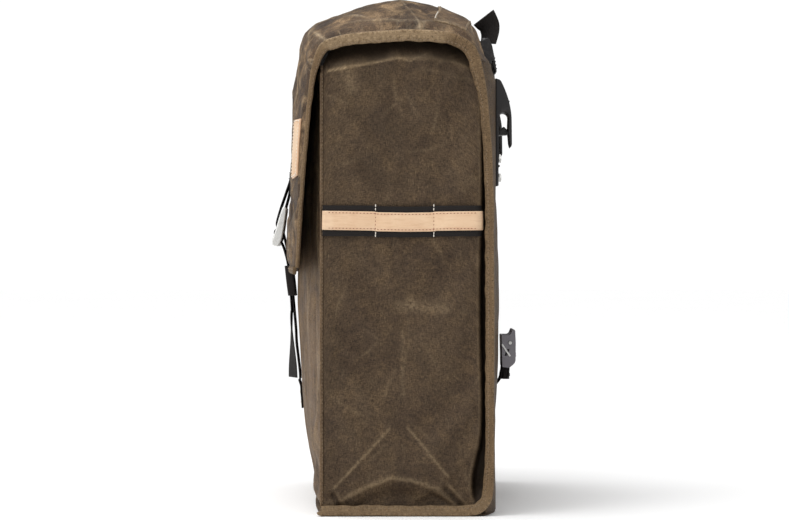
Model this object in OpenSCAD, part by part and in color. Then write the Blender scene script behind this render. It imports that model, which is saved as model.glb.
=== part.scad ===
// Bicycle pannier bag of waxed canvas, with a lid flap, lash bands and rack hooks.
// Frame: X runs along the bicycle, -Y is the outer face with the closure, +Y is the
// rack side, +Z is up. The origin is on the ground under the middle of the bag.

/* [Bag] */
// Width along the bicycle, over both side bindings
bag_w = 300; // [280:1:320]
// Thickness of the canvas with its lining
skin_t = 2; // [1.5:0.1:2.5]
// How far the side bindings stand out from the side panels
bind_t = 5; // [4:0.5:6]
// Width of the binding tape around the seams
bind_w = 10; // [8:0.5:11]
// Distance of the front seams from the origin
front_seam = 60; // [56:1:62]
// How far the front panel bulges when the bag is packed
front_bulge = 25; // [15:1:26]

/* [Webbing] */
// Width of all webbing
web_w = 25; // [20:1:30]
// Thickness of all webbing
web_t = 1.5; // [1:0.1:2]
// Height of the middle of the lash bands on the sides
lash_z = 239.5; // [200:1:280]
// Width of the leather strip on each lash band
leather_w = 15.5; // [12:0.5:18]
// Thickness of the leather
leather_t = 1.9; // [1.5:0.1:2.2]

/* [Rack hooks] */
// Distance between the middles of the two hooks
hook_span = 170; // [150:1:190]
// Width of one hook along the rack rail
hook_w = 24; // [22:1:30]
// Diameter of the rack rail that the hooks sit on
rail_d = 8; // [7:0.5:9]
// Height of the rail's centre
rail_z = 327; // [322:1:330]
// Wall of a hook against the bag and of its finger
hook_wall = 3; // [2.5:0.1:3.5]

/* [Hidden] */
$fn = 48;

half_w = bag_w / 2;
panel_x = half_w - bind_t;
gap = 0.3;

// Side outline and crown outline of the lid, [y, z] at matching stations: from the flap's end,
// up the front, over the top at station 7, where the lid folds, and down to the back panel
SIDE = [[-81, 196], [-76, 275], [-70, 345], [-67, 366], [-59.5, 384], [-40, 391], [-10, 394],
        [20, 395], [45, 393], [62, 385], [70, 371]];
CROWN = [[-89.5, 198], [-90, 262], [-88, 345], [-83, 378], [-76.5, 403.5], [-46, 420], [-10, 432.5],
         [20, 432], [46, 422], [68, 408], [83, 371]];
FOLD = 7;
REAR_END = 10;

// Back edge of the side panels, [y, z] from the ground to the lid
BACK_EDGE = [[74, 2], [77, 20], [77.5, 150], [76.5, 285], [72.5, 345], [70, 371]];
back_top = 370;
back_flat = 84;
back_belly = 7.5;
front_top = 366;

// Body binding, [y, z], outer edge from the front foot round the back to the rear top
FOOT = [[-60, 0.5], [0, 0.5], [40, 0.5], [60, 0.5], [71, 3], [78, 11], [80.5, 24], [81, 50], [81, 100],
        [81, 190], [80, 280], [76, 335]];

hook_x = hook_span / 2;
rail_r = rail_d / 2;
hook_y = back_flat;
plate_y = hook_y + hook_wall;
rail_y = plate_y + rail_r;
finger_y = rail_y + rail_r + hook_wall;
hook_top = rail_z + 32;
hook_foot = rail_z - 58;
finger_tip = rail_z - 25;
latch_z = rail_z - 13;
latch_y = hook_y + 2.1;
latch_w = 12;
screw_z = [rail_z - 50, rail_z - 34, rail_z + 21];
screw_r = 2;

plate_t = 4;
clasp_y = -103.5;
clasp_z = 221;
clasp_tilt = 13.6;
clasp_w = 30;
clasp_l = 34;
clasp_bar = 11;
bar_r = 2.5;
bar_y = clasp_y + clasp_bar * sin(clasp_tilt);
bar_z = clasp_z + clasp_bar * cos(clasp_tilt);

lock_y = 88;
lock_z = 373;
lock_tilt = 14;
lock_bar_y = lock_y - 1.75 * sin(lock_tilt);
lock_bar_z = lock_z + 1.75 * cos(lock_tilt);
cam_y = 93;
cam_z = 116;
cam_bar_y = cam_y + 5;
cam_bar_z = cam_z + 1.5;
cam_axle_y = cam_y + 7.5;
cam_axle_z = cam_z + 20;

// ---------- Curves and surfaces ----------

// Catmull-Rom point at parameter t along the control points p
function curve(p, t) =
    let(last = len(p) - 1, i = min(floor(t), last - 1), f = t - i,
        a = p[max(i - 1, 0)], b = p[i], c = p[i + 1], d = p[min(i + 2, last)])
    (2 * b + (c - a) * f + (2 * a - 5 * b + 4 * c - d) * f * f + (3 * b - a - 3 * c + d) * f * f * f) / 2;

function smooth_path(p, steps) = [for (k = [0 : steps * (len(p) - 1)]) curve(p, k / steps)];

// Unit normal to the left of the path at point i
function left_normal(path, i) =
    let(a = path[max(i - 1, 0)], b = path[min(i + 1, len(path) - 1)], d = (b - a) / norm(b - a))
    [-d[1], d[0]];

function shifted(path, by) = [for (i = [0 : len(path) - 1]) path[i] + by * left_normal(path, i)];

function reversed(list) = [for (i = [len(list) - 1 : -1 : 0]) list[i]];

// Share of the crown's height at x, 1 in the middle and 0 at the sides
function crown_share(x) = 1 - pow(min(abs(x) / half_w, 1), 2.4);

function lid_profile(x, t) = curve(SIDE, t) + (curve(CROWN, t) - curve(SIDE, t)) * crown_share(x);

// Point of the lid's surface at x and station t, moved outward by out
function lid_point(x, t, out) =
    let(e = 0.02, a = lid_profile(x, max(t - e, 0)), b = lid_profile(x, min(t + e, REAR_END)),
        d = (b - a) / norm(b - a), p = lid_profile(x, t))
    [x, p[0] - d[1] * out, p[1] + d[0] * out];

function front_depth(z) =
    z < 170 ? 7 + (front_bulge - 7) * sqrt(z / 170)
            : front_bulge - 12 * pow((z - 170) / (front_top - 170), 2);

function front_point(x, z, out) =
    [x, -front_seam - front_depth(z) * (1 - pow(x / panel_x, 2)) - out, z];

// y of the back edge at height z
function back_edge(z) = lookup(z, [for (p = BACK_EDGE) [p[1], p[0]]]);

// The back is flat under the hooks, falls away to the seams and bellies out in the middle
function back_share(x) = let(u = abs(x) / panel_x) u < 0.7 ? 1 : 1 - pow((u - 0.7) / 0.3, 2);

function back_belly_at(x, z) =
    let(low = 40, high = 300, s = min(max((z - low) / (high - low), 0), 1))
    back_belly * pow(sin(180 * s), 0.6) * max(0, 1 - pow(x / 58, 2));

function back_point(x, z, out) =
    [x, back_edge(z) + (back_flat - back_edge(z)) * back_share(x) + back_belly_at(x, z) + out, z];

function steps(from, to, n) = [for (i = [0 : n]) from + (to - from) * i / n];

// Closed sheet between two grids of points, rows by columns, outer seen with columns to the right
module sheet(outer, inner) {
    rows = len(outer);
    cols = len(outer[0]);
    n = rows * cols;
    points = concat([for (r = outer) for (p = r) p], [for (r = inner) for (p = r) p]);
    quads = concat(
        [for (i = [0 : rows - 2]) for (j = [0 : cols - 2])
            let(a = i * cols + j) [a, a + cols, a + cols + 1, a + 1]],
        [for (i = [0 : rows - 2]) for (j = [0 : cols - 2])
            let(a = n + i * cols + j) [a, a + 1, a + cols + 1, a + cols]],
        [for (j = [0 : cols - 2]) [j, j + 1, n + j + 1, n + j]],
        [for (j = [0 : cols - 2]) let(a = (rows - 1) * cols + j) [a + 1, a, n + a, n + a + 1]],
        [for (i = [0 : rows - 2]) let(a = i * cols) [a + cols, a, n + a, n + a + cols]],
        [for (i = [0 : rows - 2]) let(a = i * cols + cols - 1) [a, a + cols, n + a + cols, n + a]]);
    faces = [for (q = quads) for (k = [1, 2]) [q[0], q[k], q[k + 1]]];
    polyhedron(points, faces);
}

// Part of the lid's surface as a sheet from near to far outside it
module lid_sheet(x0, x1, nx, t0, t1, nt, near, far) {
    sheet([for (t = steps(t0, t1, nt)) [for (x = steps(x0, x1, nx)) lid_point(x, t, far)]],
          [for (t = steps(t0, t1, nt)) [for (x = steps(x0, x1, nx)) lid_point(x, t, near)]]);
}

// A [y, z] outline stretched along X from x0 to x1
module along_x(x0, x1) {
    translate([x0, 0, 0]) rotate([90, 0, 90]) linear_extrude(x1 - x0) children();
}

// Flat strap whose middle follows a path, from near to far on the path's left
module strap(path, near, far) {
    polygon(concat(shifted(path, near), reversed(shifted(path, far))));
}

// Path along the crown of the lid between two stations
function crown_path(t0, t1, n) = [for (t = steps(t0, t1, n)) curve(CROWN, t)];

module tilted(y, z, angle) {
    translate([0, y, z]) rotate([angle, 0, 0]) children();
}

module rounded_plate(w, l, r, t) {
    rotate([90, 0, 0]) translate([0, 0, -t / 2]) linear_extrude(t) {
        translate([-w / 2 + r, 0]) square([w - 2 * r, l]);
        translate([-w / 2, r]) square([w, l - 2 * r]);
        for (x = [-w / 2 + r, w / 2 - r], y = [r, l - r]) translate([x, y]) circle(r);
    }
}

module rod(x0, x1, y, z, r) {
    translate([x0, y, z]) rotate([0, 90, 0]) cylinder(h = x1 - x0, r = r);
}

// ---------- Bag body ----------

module back_panel() {
    xs = steps(-panel_x, panel_x, 24);
    zs = steps(back_top, skin_t, 22);
    color([0.30, 0.25, 0.20])
        sheet([for (z = zs) [for (x = xs) back_point(x, z, 0)]],
              [for (z = zs) [for (x = xs) back_point(x, z, -skin_t)]]);
}

module front_panel() {
    xs = steps(-panel_x, panel_x, 16);
    zs = [for (s = steps(0, 1, 18)) skin_t + (front_top - skin_t) * s * s];
    color([0.42, 0.36, 0.30])
        sheet([for (z = zs) [for (x = xs) front_point(x, z, 0)]],
              [for (z = zs) [for (x = xs) front_point(x, z, -skin_t)]]);
}

module side_panel() {
    back = [for (z = steps(skin_t, back_top - 4, 22)) [back_edge(z) - skin_t, z]];
    top = [[60, 377], [44, 385], [20, 387], [-10, 386], [-38, 382], [-54, 372]];
    front = [[skin_t - front_seam, 356], [skin_t - front_seam, skin_t]];
    color([0.32, 0.27, 0.22])
        along_x(panel_x - skin_t, panel_x) polygon(concat(back, top, front));
}

module side_panel_right() side_panel();
module side_panel_left() mirror([1, 0, 0]) side_panel();

module bottom_panel() {
    xs = steps(-panel_x, panel_x, 24);
    front = [for (x = xs) let(p = front_point(x, skin_t, 0)) [x, p[1]]];
    back = [for (x = reversed(xs)) let(p = back_point(x, skin_t, 0)) [x, p[1]]];
    color([0.32, 0.27, 0.22])
        linear_extrude(skin_t) polygon(concat(front, back));
}

module rear_top_panel() {
    color([0.45, 0.38, 0.31])
        lid_sheet(-panel_x, panel_x, 20, FOLD + 0.02, REAR_END, 12, -skin_t, 0);
}

module back_stiffener() {
    color("dimgray") difference() {
        along_x(-96, 96) translate([back_flat - 2 * skin_t, 12]) square([skin_t, 345]);
        for (x = [-hook_x, hook_x], z = screw_z) screw_hole(x, z);
    }
}

module screw_hole(x, z) {
    translate([x, hook_y - 20, z]) rotate([-90, 0, 0]) cylinder(h = 30, r = screw_r + 0.1);
}

module base_board() {
    color("dimgray") translate([-138, -54, skin_t]) cube([276, 126, 3]);
}

module binding() {
    rear = [for (t = [REAR_END : -1 : FOLD]) SIDE[t]];
    path = smooth_path(concat(FOOT, rear), 4);
    color([0.52, 0.44, 0.35])
        along_x(panel_x, half_w) strap(path, 0, bind_w);
}

module binding_right() binding();
module binding_left() mirror([1, 0, 0]) binding();

// ---------- Lash bands on the sides ----------

// Plan of a lash band, [x, y]: sewn down at both ends and at two tacks, a little slack between
function lash_path() =
    let(slack = 1.4, seams = [skin_t - front_seam, -15, 32, 69.5])
    [for (k = [0 : 2], i = [0 : (k < 2 ? 5 : 6)])
        let(f = i / 6) [panel_x + slack * sin(180 * f), seams[k] + (seams[k + 1] - seams[k]) * f]];

module lash_band(near, far, width) {
    translate([0, 0, lash_z - width / 2]) linear_extrude(width) strap(lash_path(), -near, -far);
}

module lash_webbing() color([0.16, 0.15, 0.15]) lash_band(0.02, web_t, web_w);
module lash_leather() color([0.86, 0.72, 0.56]) lash_band(web_t + 0.05, web_t + leather_t, leather_w);
module lash_webbing_right() lash_webbing();
module lash_webbing_left() mirror([1, 0, 0]) lash_webbing();
module lash_leather_right() lash_leather();
module lash_leather_left() mirror([1, 0, 0]) lash_leather();

// ---------- Lid strap and ladder lock at the rear top ----------

// Yoke sewn across the rear of the lid, over the end of the webbing
module strap_cover() {
    color([0.42, 0.35, 0.28]) lid_sheet(-132, 132, 18, 7.62, 8.95, 8, 0.3, 1.7);
}

// Webbing from under the cover to the ladder lock, and its free tail
module lid_strap() {
    color([0.16, 0.15, 0.15]) {
        along_x(-web_w / 2, web_w / 2)
            strap(concat(crown_path(8.98, 9.15, 3), [[80, 402.5]]), 0.4, 0.4 + web_t);
        along_x(-web_w / 2, web_w / 2)
            strap([[79.2, 402.2], [84, 407], [88, 416], [92, 424]], 0, web_t);
    }
}

// Webbing sewn to the back that holds the ladder lock's lower bar
module lock_anchor() {
    mid = back_flat + gap + web_t / 2;
    color([0.16, 0.15, 0.15]) {
        along_x(-web_w / 2, web_w / 2)
            strap([[mid, 336], [mid, 370.6], [lock_bar_y - 3.3, lock_bar_z - 0.4]], -web_t / 2, web_t / 2);
        rod_ring(lock_bar_y, lock_bar_z, 3, 3 + web_t);
    }
}

module ladder_lock() {
    color([0.13, 0.12, 0.13]) tilted(lock_y, lock_z, lock_tilt) difference() {
        union() {
            rounded_plate(32, 30, 3, 4);
            along_x(-11, 11) polygon([[2, 16], [5, 12], [8.8, -2], [6.8, -3], [2, 11.2]]);
        }
        for (z = [3.5, 19.5]) translate([-13, -5, z]) cube([26, 7.01, 5]);
    }
}

// ---------- Rack hooks ----------

module hook() {
    outline = [
        [hook_y, hook_foot], [plate_y, hook_foot + 2], [plate_y, finger_tip - 4],
        [plate_y, rail_z], [rail_y + rail_r, rail_z], [rail_y + rail_r, rail_z - 4],
        [finger_y - 1.6, finger_tip], [finger_y, finger_tip + 2], [finger_y, rail_z + 8],
        [finger_y - 2.5, rail_z + 18], [hook_y + 6, hook_top - 1], [hook_y, hook_top]
    ];
    color([0.13, 0.12, 0.13]) difference() {
        along_x(hook_x - hook_w / 2, hook_x + hook_w / 2) polygon(outline);
        rod(hook_x - hook_w, hook_x + hook_w, rail_y, rail_z, rail_r);
        translate([hook_x - latch_w / 2 - gap, hook_y - 1, latch_z - 12])
            cube([latch_w + 2 * gap, hook_wall + 2, 16]);
        rod(hook_x - 9, hook_x + 9, latch_y, latch_z, 1);
        for (z = screw_z) screw_hole(hook_x, z);
    }
}

module latch_pin() color("silver") rod(hook_x - 9, hook_x + 9, latch_y, latch_z, 1);

module hook_latch() {
    color([0.20, 0.19, 0.20]) difference() {
        union() {
            rod(hook_x - latch_w / 2, hook_x + latch_w / 2, latch_y, latch_z, 1.75);
            along_x(hook_x - latch_w / 2, hook_x + latch_w / 2)
                polygon([[latch_y, latch_z - 1.5], [rail_y + rail_r - 0.6, latch_z - 1.2],
                         [rail_y + rail_r - 0.6, latch_z + 2.5], [rail_y, latch_z + 6.5],
                         [plate_y + 1.2, latch_z + 1.7], [latch_y, latch_z + 1.7]]);
        }
        rod(hook_x - latch_w, hook_x + latch_w, latch_y, latch_z, 1.05);
    }
}

module backing_strip() {
    color("silver") difference() {
        translate([hook_x - 10, back_flat - 2 * skin_t - 2, hook_foot + 2]) cube([20, 2, 86]);
        for (z = screw_z) screw_hole(hook_x, z);
    }
}

module hook_right() hook();
module hook_left() mirror([1, 0, 0]) hook();
module latch_pin_right() latch_pin();
module latch_pin_left() mirror([1, 0, 0]) latch_pin();
module hook_latch_right() hook_latch();
module hook_latch_left() mirror([1, 0, 0]) hook_latch();
module backing_strip_right() backing_strip();
module backing_strip_left() mirror([1, 0, 0]) backing_strip();

// Screws from inside the bag: head against the backing strip, shank out through the hook
module hook_screws() {
    head_y = back_flat - 2 * skin_t - 2;
    color("silver") for (x = [-hook_x, hook_x], z = screw_z)
        translate([x, head_y, z]) rotate([-90, 0, 0]) {
            cylinder(h = plate_y - head_y + 2.5, r = screw_r);
            translate([0, 0, -2]) cylinder(h = 2, r = 4);
        }
}

module hook_nuts() {
    color("silver") for (x = [-hook_x, hook_x], z = [screw_z[0], screw_z[1]])
        translate([x, plate_y, z]) rotate([-90, 0, 0]) difference() {
            cylinder(h = 2.2, r = 4, $fn = 6);
            translate([0, 0, -1]) cylinder(h = 5, r = screw_r);
        }
}

// ---------- Lid flap ----------

module lid_flap() {
    color([0.42, 0.36, 0.29])
        lid_sheet(-panel_x - gap, panel_x + gap, 20, 0.12, FOLD - 0.03, 34, -skin_t, 0);
}

// The binding narrows towards the flap's end, where it turns to face forward
module lid_binding() {
    outer = [for (t = steps(0.12, FOLD - 0.03, 32)) curve(SIDE, t)];
    n = len(outer) - 1;
    inner = [for (i = [0 : n])
        outer[i] - left_normal(outer, i) * (5 + (bind_w - 5) * min(1, i / (0.5 * n)))];
    color([0.52, 0.44, 0.35])
        along_x(panel_x + gap, half_w) polygon(concat(outer, reversed(inner)));
}

module lid_binding_right() lid_binding();
module lid_binding_left() mirror([1, 0, 0]) lid_binding();

module flap_hem() {
    color([0.52, 0.44, 0.35]) lid_sheet(-half_w, half_w, 16, 0, 0.12, 1, -skin_t - 1, 0.3);
}

module leather_patch() {
    color([0.86, 0.74, 0.60]) lid_sheet(104.5, 136.5, 4, 0.99, 1.67, 5, 0.1, leather_t);
}

// Webbing loop sewn to the flap; the closure hook hangs in it
module flap_loop() {
    ly = clasp_y + 17.8 * sin(clasp_tilt);
    lz = clasp_z + 17.8 * cos(clasp_tilt);
    color([0.16, 0.15, 0.15]) {
        along_x(-web_w / 2, web_w / 2) strap(crown_path(1.22, 1.42, 3), 0.1, 2 * web_t);
        along_x(-web_w / 2, web_w / 2)
            strap([[ly - 3.6, lz + 0.5], [-101.2, 254], [-98, 264], [-94, 273], [-91, 280]], 0, web_t);
        along_x(-web_w / 2, web_w / 2)
            strap([[ly + 3.2, lz - 0.8], [-92, 251], [-91.7, 266], [-91, 280]], -web_t / 2, web_t / 2);
        along_x(-web_w / 2, web_w / 2)
            strap([[ly - 4.2, lz + 0.2], [ly - 2, lz - 1.3], [ly + 2, lz - 1.9], [ly + 3.7, lz - 0.9]], 0, web_t);
    }
}

// ---------- Closure on the front ----------

// Webbing tab sewn to the front panel at the foot of the closure strap
module front_anchor() {
    path = [for (z = steps(80, 103, 4)) let(p = front_point(0, z, 0)) [p[1], p[2]]];
    color([0.16, 0.15, 0.15]) along_x(-web_w / 2, web_w / 2) strap(path, 0.05, 0.05 + web_t);
}

module closure_strap() {
    color([0.16, 0.15, 0.15]) {
        along_x(-web_w / 2, web_w / 2)
            strap([[-83.1, 104.5], [-85, 118], [-87, 134], [-88.8, 150], [-91.4, 164],
                   [-92.4, 212], [-95, 221], [bar_y + 4.3, bar_z]], 0, web_t);
        rod_ring(bar_y, bar_z, bar_r + 0.4, bar_r + 0.4 + web_t);
        along_x(-web_w / 2, web_w / 2)
            strap([[bar_y + 2.6, bar_z - 2.6], [-97.1, 221], [-94.6, 212], [-93.5, 164],
                   [-94.6, 148], [-94, 128], [-93.2, 114], [-91.5, 106]], 0, -web_t);
    }
}

module rod_ring(y, z, r_in, r_out) {
    difference() {
        rod(-web_w / 2, web_w / 2, y, z, r_out);
        rod(-web_w, web_w, y, z, r_in);
    }
}

module strap_keeper() {
    color([0.12, 0.11, 0.12]) translate([0, 0, 177]) linear_extrude(26) difference() {
        translate([-15, -97.6]) square([30, 7.7]);
        translate([-13.2, -96.4]) square([26.4, 5.3]);
    }
}

// Flat hook: round bar for the strap, and above it a slot with a side mouth for the loop
module closure_hook() {
    color([0.82, 0.82, 0.81]) tilted(clasp_y, clasp_z, -clasp_tilt) {
        difference() {
            rounded_plate(clasp_w, clasp_l, 4, plate_t);
            translate([-13, -5, 3.5]) cube([26, 10, 16]);
            translate([12, -5, 14.5]) cube([8, 10, 3.6]);
        }
        rod(-13.5, 13.5, 0, clasp_bar, bar_r);
    }
}

// ---------- Cam buckle low on the back ----------

module lower_anchor() {
    sewn = [for (z = steps(70, 98, 6)) let(p = back_point(0, z, gap + web_t / 2)) [p[1], p[2]]];
    color([0.16, 0.15, 0.15]) {
        along_x(-web_w / 2, web_w / 2)
            strap(concat(sewn, [[94, 106], [cam_bar_y - 0.5, cam_bar_z - 3]]), -web_t / 2, web_t / 2);
        rod_ring(cam_bar_y, cam_bar_z, 2.2, 2.2 + web_t);
    }
}

module cam_buckle() {
    color([0.45, 0.44, 0.45]) translate([0, cam_y, cam_z]) {
        along_x(-15, 15) polygon([[0, 7], [2, 7], [2, 31], [0, 31]]);
        for (x = [-17, 14.5]) along_x(x, x + 2.5) difference() {
            polygon([[0, -1], [7, -2], [12.5, 3], [12.5, 24], [10, 32], [0, 32]]);
            translate([7.5, 20]) circle(1.5);
        }
        rod(-15, 15, cam_bar_y - cam_y, cam_bar_z - cam_z, 1.7);
    }
}

module cam_pin() color("silver") rod(-18, 18, cam_axle_y, cam_axle_z, 1.5);

module cam_lever() {
    color([0.62, 0.62, 0.63]) difference() {
        union() {
            rod(-14, 14, cam_axle_y, cam_axle_z, 3.2);
            along_x(-14, 14) polygon([
                [cam_y + 6, cam_z + 22.5], [cam_y + 9.5, cam_z + 22.5], [cam_y + 12.4, cam_z + 11],
                [cam_y + 12, cam_z + 6], [cam_y + 9.5, cam_z + 6], [cam_y + 8, cam_z + 12]]);
        }
        rod(-20, 20, cam_axle_y, cam_axle_z, 1.55);
    }
}

back_panel();
front_panel();
side_panel_left();
side_panel_right();
bottom_panel();
rear_top_panel();
back_stiffener();
base_board();
binding_left();
binding_right();
lash_webbing_left();
lash_webbing_right();
lash_leather_left();
lash_leather_right();
strap_cover();
lid_strap();
lock_anchor();
front_anchor();
lower_anchor();
hook_left();
hook_right();
latch_pin_left();
latch_pin_right();
backing_strip_left();
backing_strip_right();
hook_screws();
hook_nuts();
lid_flap();
lid_binding_left();
lid_binding_right();
flap_hem();
leather_patch();
flap_loop();
closure_strap();
strap_keeper();
closure_hook();
ladder_lock();
hook_latch_left();
hook_latch_right();
cam_buckle();
cam_pin();
cam_lever();
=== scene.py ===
"""Waxed-canvas bicycle pannier bag: its cloth, straps, stitching, fittings and materials, built
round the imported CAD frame. Lengths are millimetres until a mesh is made, which turns them into metres."""

import math

import bpy
import numpy as np
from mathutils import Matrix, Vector, noise


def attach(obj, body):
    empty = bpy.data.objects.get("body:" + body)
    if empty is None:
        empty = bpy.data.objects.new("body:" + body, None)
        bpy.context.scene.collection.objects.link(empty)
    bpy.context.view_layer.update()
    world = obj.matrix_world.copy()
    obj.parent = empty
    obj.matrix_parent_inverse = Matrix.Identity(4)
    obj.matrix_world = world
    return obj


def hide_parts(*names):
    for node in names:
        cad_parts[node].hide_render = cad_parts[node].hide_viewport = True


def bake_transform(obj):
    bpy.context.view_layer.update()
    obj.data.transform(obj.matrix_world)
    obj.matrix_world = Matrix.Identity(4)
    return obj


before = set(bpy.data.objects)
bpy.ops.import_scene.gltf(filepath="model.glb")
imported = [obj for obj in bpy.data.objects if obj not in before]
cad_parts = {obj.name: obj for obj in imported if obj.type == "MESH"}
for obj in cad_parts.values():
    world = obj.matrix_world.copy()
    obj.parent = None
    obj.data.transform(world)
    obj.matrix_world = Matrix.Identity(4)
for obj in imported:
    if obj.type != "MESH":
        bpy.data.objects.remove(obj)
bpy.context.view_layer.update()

MM = 0.001

# ---------- Dimensions, mostly as in the part's source ----------

# Half the bag's width, the X of its side panels and of the lid canvas's edge, and the cloth's thickness
HALF_W = 150
PANEL_X = 145
LID_X = PANEL_X + 0.3
SKIN = 2
# Webbing and leather, and the height of the lash bands
WEB_W = 25
WEB_T = 1.5
LASH_Z = 239.5
LEATHER_W = 15.5
LEATHER_T = 1.9
# Rack hooks, and the rail that they hang on
HOOK_X = 85
HOOK_W = 24
BACK_Y = 84
RAIL_Y, RAIL_Z, RAIL_R = 91, 327, 4
FINGER_Y = 98
# Closure hook and ladder lock as y, z and tilt in degrees, the hook's two bars above its foot, and the
# cam buckle as y and z
CLASP = (-103.5, 221, -13.6)
CLASP_BAR = 11
CLASP_EYE = 17.8
LOCK = (88, 373, 14)
CAM = (93, 116)
# Panels: Y of the front seam and of the side panels' front edge, and the tops of the front and back
FRONT_SEAM = -60
SIDE_FRONT = -58.8
FRONT_TOP = 366
BACK_TOP = 370
# Stations of the lid's rear end and of its canvas's lower end, and the yoke's half width
REAR_END = 10
FLAP_END = 0.12
YOKE_REACH = 133

# Lid outlines at the side and in the middle, (y, z) at matching stations from the flap's end
SIDE = [(-81, 196), (-76, 275), (-70, 345), (-67, 366), (-59.5, 384), (-40, 391), (-10, 394),
        (20, 395), (45, 393), (62, 385), (70, 371)]
CROWN = [(-89.5, 198), (-90, 262), (-88, 345), (-83, 378), (-76.5, 403.5), (-46, 420), (-10, 432.5),
         (20, 432), (46, 422), (68, 408), (83, 371)]
# Back edge of the sides, and the outer edge of the body's binding from the front foot round the back
BACK_EDGE = [(74, 2), (77, 20), (77.5, 150), (76.5, 285), (72.5, 345), (70, 371)]
FOOT = [(-60, 0.5), (0, 0.5), (40, 0.5), (60, 0.5), (71, 3), (78, 11), (80.5, 24), (81, 50), (81, 100),
        (81, 190), (80, 280), (76, 335)]

# The pair of bodies that the lid's cloth lies between; the cloth is left unparented, with its transform baked
# in
LID = ("root", "lid")
# Leather patch: its middle, half width and half height, as x and station
PATCH_X, PATCH_HALF = 120.5, 16
PATCH_T, PATCH_RISE = 1.375, 0.295
HANDS = {"right": 1, "left": -1}

# ---------- Curves, noise and relief ----------


def curve(points, t):
    """Catmull-Rom values at parameters t along a list of points or rows of points."""
    p = np.asarray(points, float)
    t = np.asarray(t, float)
    last = len(p) - 1
    i = np.clip(np.floor(t).astype(int), 0, last - 1)
    f = (t - i).reshape(t.shape + (1,) * (p.ndim - 1))
    a, b, c, d = p[np.maximum(i - 1, 0)], p[i], p[i + 1], p[np.minimum(i + 2, last)]
    return (2 * b + (c - a) * f + (2 * a - 5 * b + 4 * c - d) * f**2 + (3 * b - a - 3 * c + d) * f**3) / 2


def lengths(path):
    """Distance along a path at each of its points."""
    steps = np.diff(np.asarray(path, float), axis=0)
    return np.append(0, np.cumsum(np.linalg.norm(steps, axis=1)))


def at_lengths(path, at):
    """Points of a path at the given distances along it."""
    s = lengths(path)
    return np.column_stack([np.interp(at, s, column) for column in np.asarray(path, float).T])


def spaced(path, count):
    """count points evenly spaced along a path."""
    return at_lengths(path, np.linspace(0, lengths(path)[-1], count))


def smooth(points, pitch=2.5):
    """Evenly spaced points, about pitch apart, on the smooth curve through the given ones."""
    fine = curve(points, np.linspace(0, len(points) - 1, 24 * len(points)))
    return spaced(fine, max(3, int(lengths(fine)[-1] / pitch) + 1))


def in_plane(path, x=0.0):
    """A (y, z) path as points at one x."""
    path = np.asarray(path, float)
    return np.column_stack([np.full(len(path), x), path])


def ease(low, high, value):
    """0 below low, 1 above high, and a smooth rise between them."""
    s = np.clip((value - low) / (high - low), 0, 1)
    return s * s * (3 - 2 * s)


def bell(gap, width, power=2):
    """1 where gap is 0, falling off within about width on both sides."""
    return np.exp(-((np.abs(gap) / width) ** power))


def matched(*values):
    """Numbers or arrays as arrays of one shape."""
    return np.broadcast_arrays(*[np.asarray(v, float) for v in values])


def moved(points, axis, by):
    """A copy of some points, moved along one axis."""
    points = np.array(points, float)
    points[..., axis] += by
    return points


def wander(values, size, a, b):
    """Smooth noise along a line of values, different for each pair of numbers a and b."""
    return np.array([noise.noise((a, b, v / size)) for v in values])


def fractal(points, size, seed=0, octaves=3):
    """Smooth noise, about -1 to 1, with features of the given size."""
    at = np.asarray(points, float).reshape(-1, 3) / size + 13.7 * seed
    values = [noise.fractal(p, 0.9, 2.0, octaves) for p in at.tolist()]
    return np.array(values).reshape(np.shape(points)[:-1])


def creases(u, v, count, reach, width, seed, lean=None):
    """Creases scattered over flat cloth: their height, and the pale line along each one that stands out.
    Each is nearly straight, about reach long, with a sharp top and sides that fall off over width."""
    draw = np.random.default_rng(seed)
    height, line = np.zeros_like(u), np.zeros_like(u)
    for _ in range(count):
        centre = draw.uniform((u.min(), v.min()), (u.max(), v.max()))
        angle = draw.uniform(0, math.pi) if lean is None else draw.normal(lean, 0.35)
        half = reach * draw.uniform(0.25, 0.7)
        bow = draw.uniform(-0.15, 0.15) / half
        sign = 1 if draw.uniform() < 0.55 else -1
        strength = draw.uniform(0.4, 1)
        along = (u - centre[0]) * math.cos(angle) + (v - centre[1]) * math.sin(angle)
        away = (v - centre[1]) * math.cos(angle) - (u - centre[0]) * math.sin(angle) - bow * along**2
        taper = np.clip(1 - (along / half) ** 2, 0, 1) * strength
        height += sign * taper * bell(away, width, 1)
        if sign > 0:
            line = np.maximum(line, taper * bell(away, 0.4 * width))
    return height, line


def near_line(y, z, start, end, width):
    """1 on the line between two (y, z) points, falling off with distance."""
    a, d = np.array(start, float), np.subtract(end, start).astype(float)
    s = np.clip(((y - a[0]) * d[0] + (z - a[1]) * d[1]) / (d @ d), 0, 1)
    gap = np.hypot(y - a[0] - s * d[0], z - a[1] - s * d[1])
    return np.exp(-((gap / width) ** 2) / 2)


def near_lines(y, z, table):
    """The sum of near_line over rows of (share, start, end, width)."""
    return sum(share * near_line(y, z, start, end, width) for share, start, end, width in table)


def curvature(height, pitch):
    """How much a relief bends out (above 0) or in (below 0) at each point of a grid."""
    bend = sum(np.gradient(np.gradient(height, axis=k), axis=k) for k in (0, 1))
    return np.clip(-bend / pitch**2 * 4, -1, 1)


def wear_and_shade_of(bend, rub, dim, most=0.8):
    """The three channels that a cloth material reads: bends, which it turns into pale ridges and painted
    shade in valleys; pale rubbed lines, some of them painted light; and stains mixed with painted shade.
    """
    bend, rub, dim = matched(bend, rub, dim)
    return np.stack([bend, np.clip(rub, 0, 1), np.clip(dim, 0, most)], axis=-1)


def unit(v):
    v = np.asarray(v, float)
    return v / np.linalg.norm(v, axis=-1, keepdims=True)


# ---------- Bag shape, as in the part's source ----------


def crown_share(x):
    """How far the lid follows its middle outline at x, from 0 at the sides to 1."""
    return 1 - np.minimum(np.abs(x) / HALF_W, 1) ** 2.4


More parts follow.
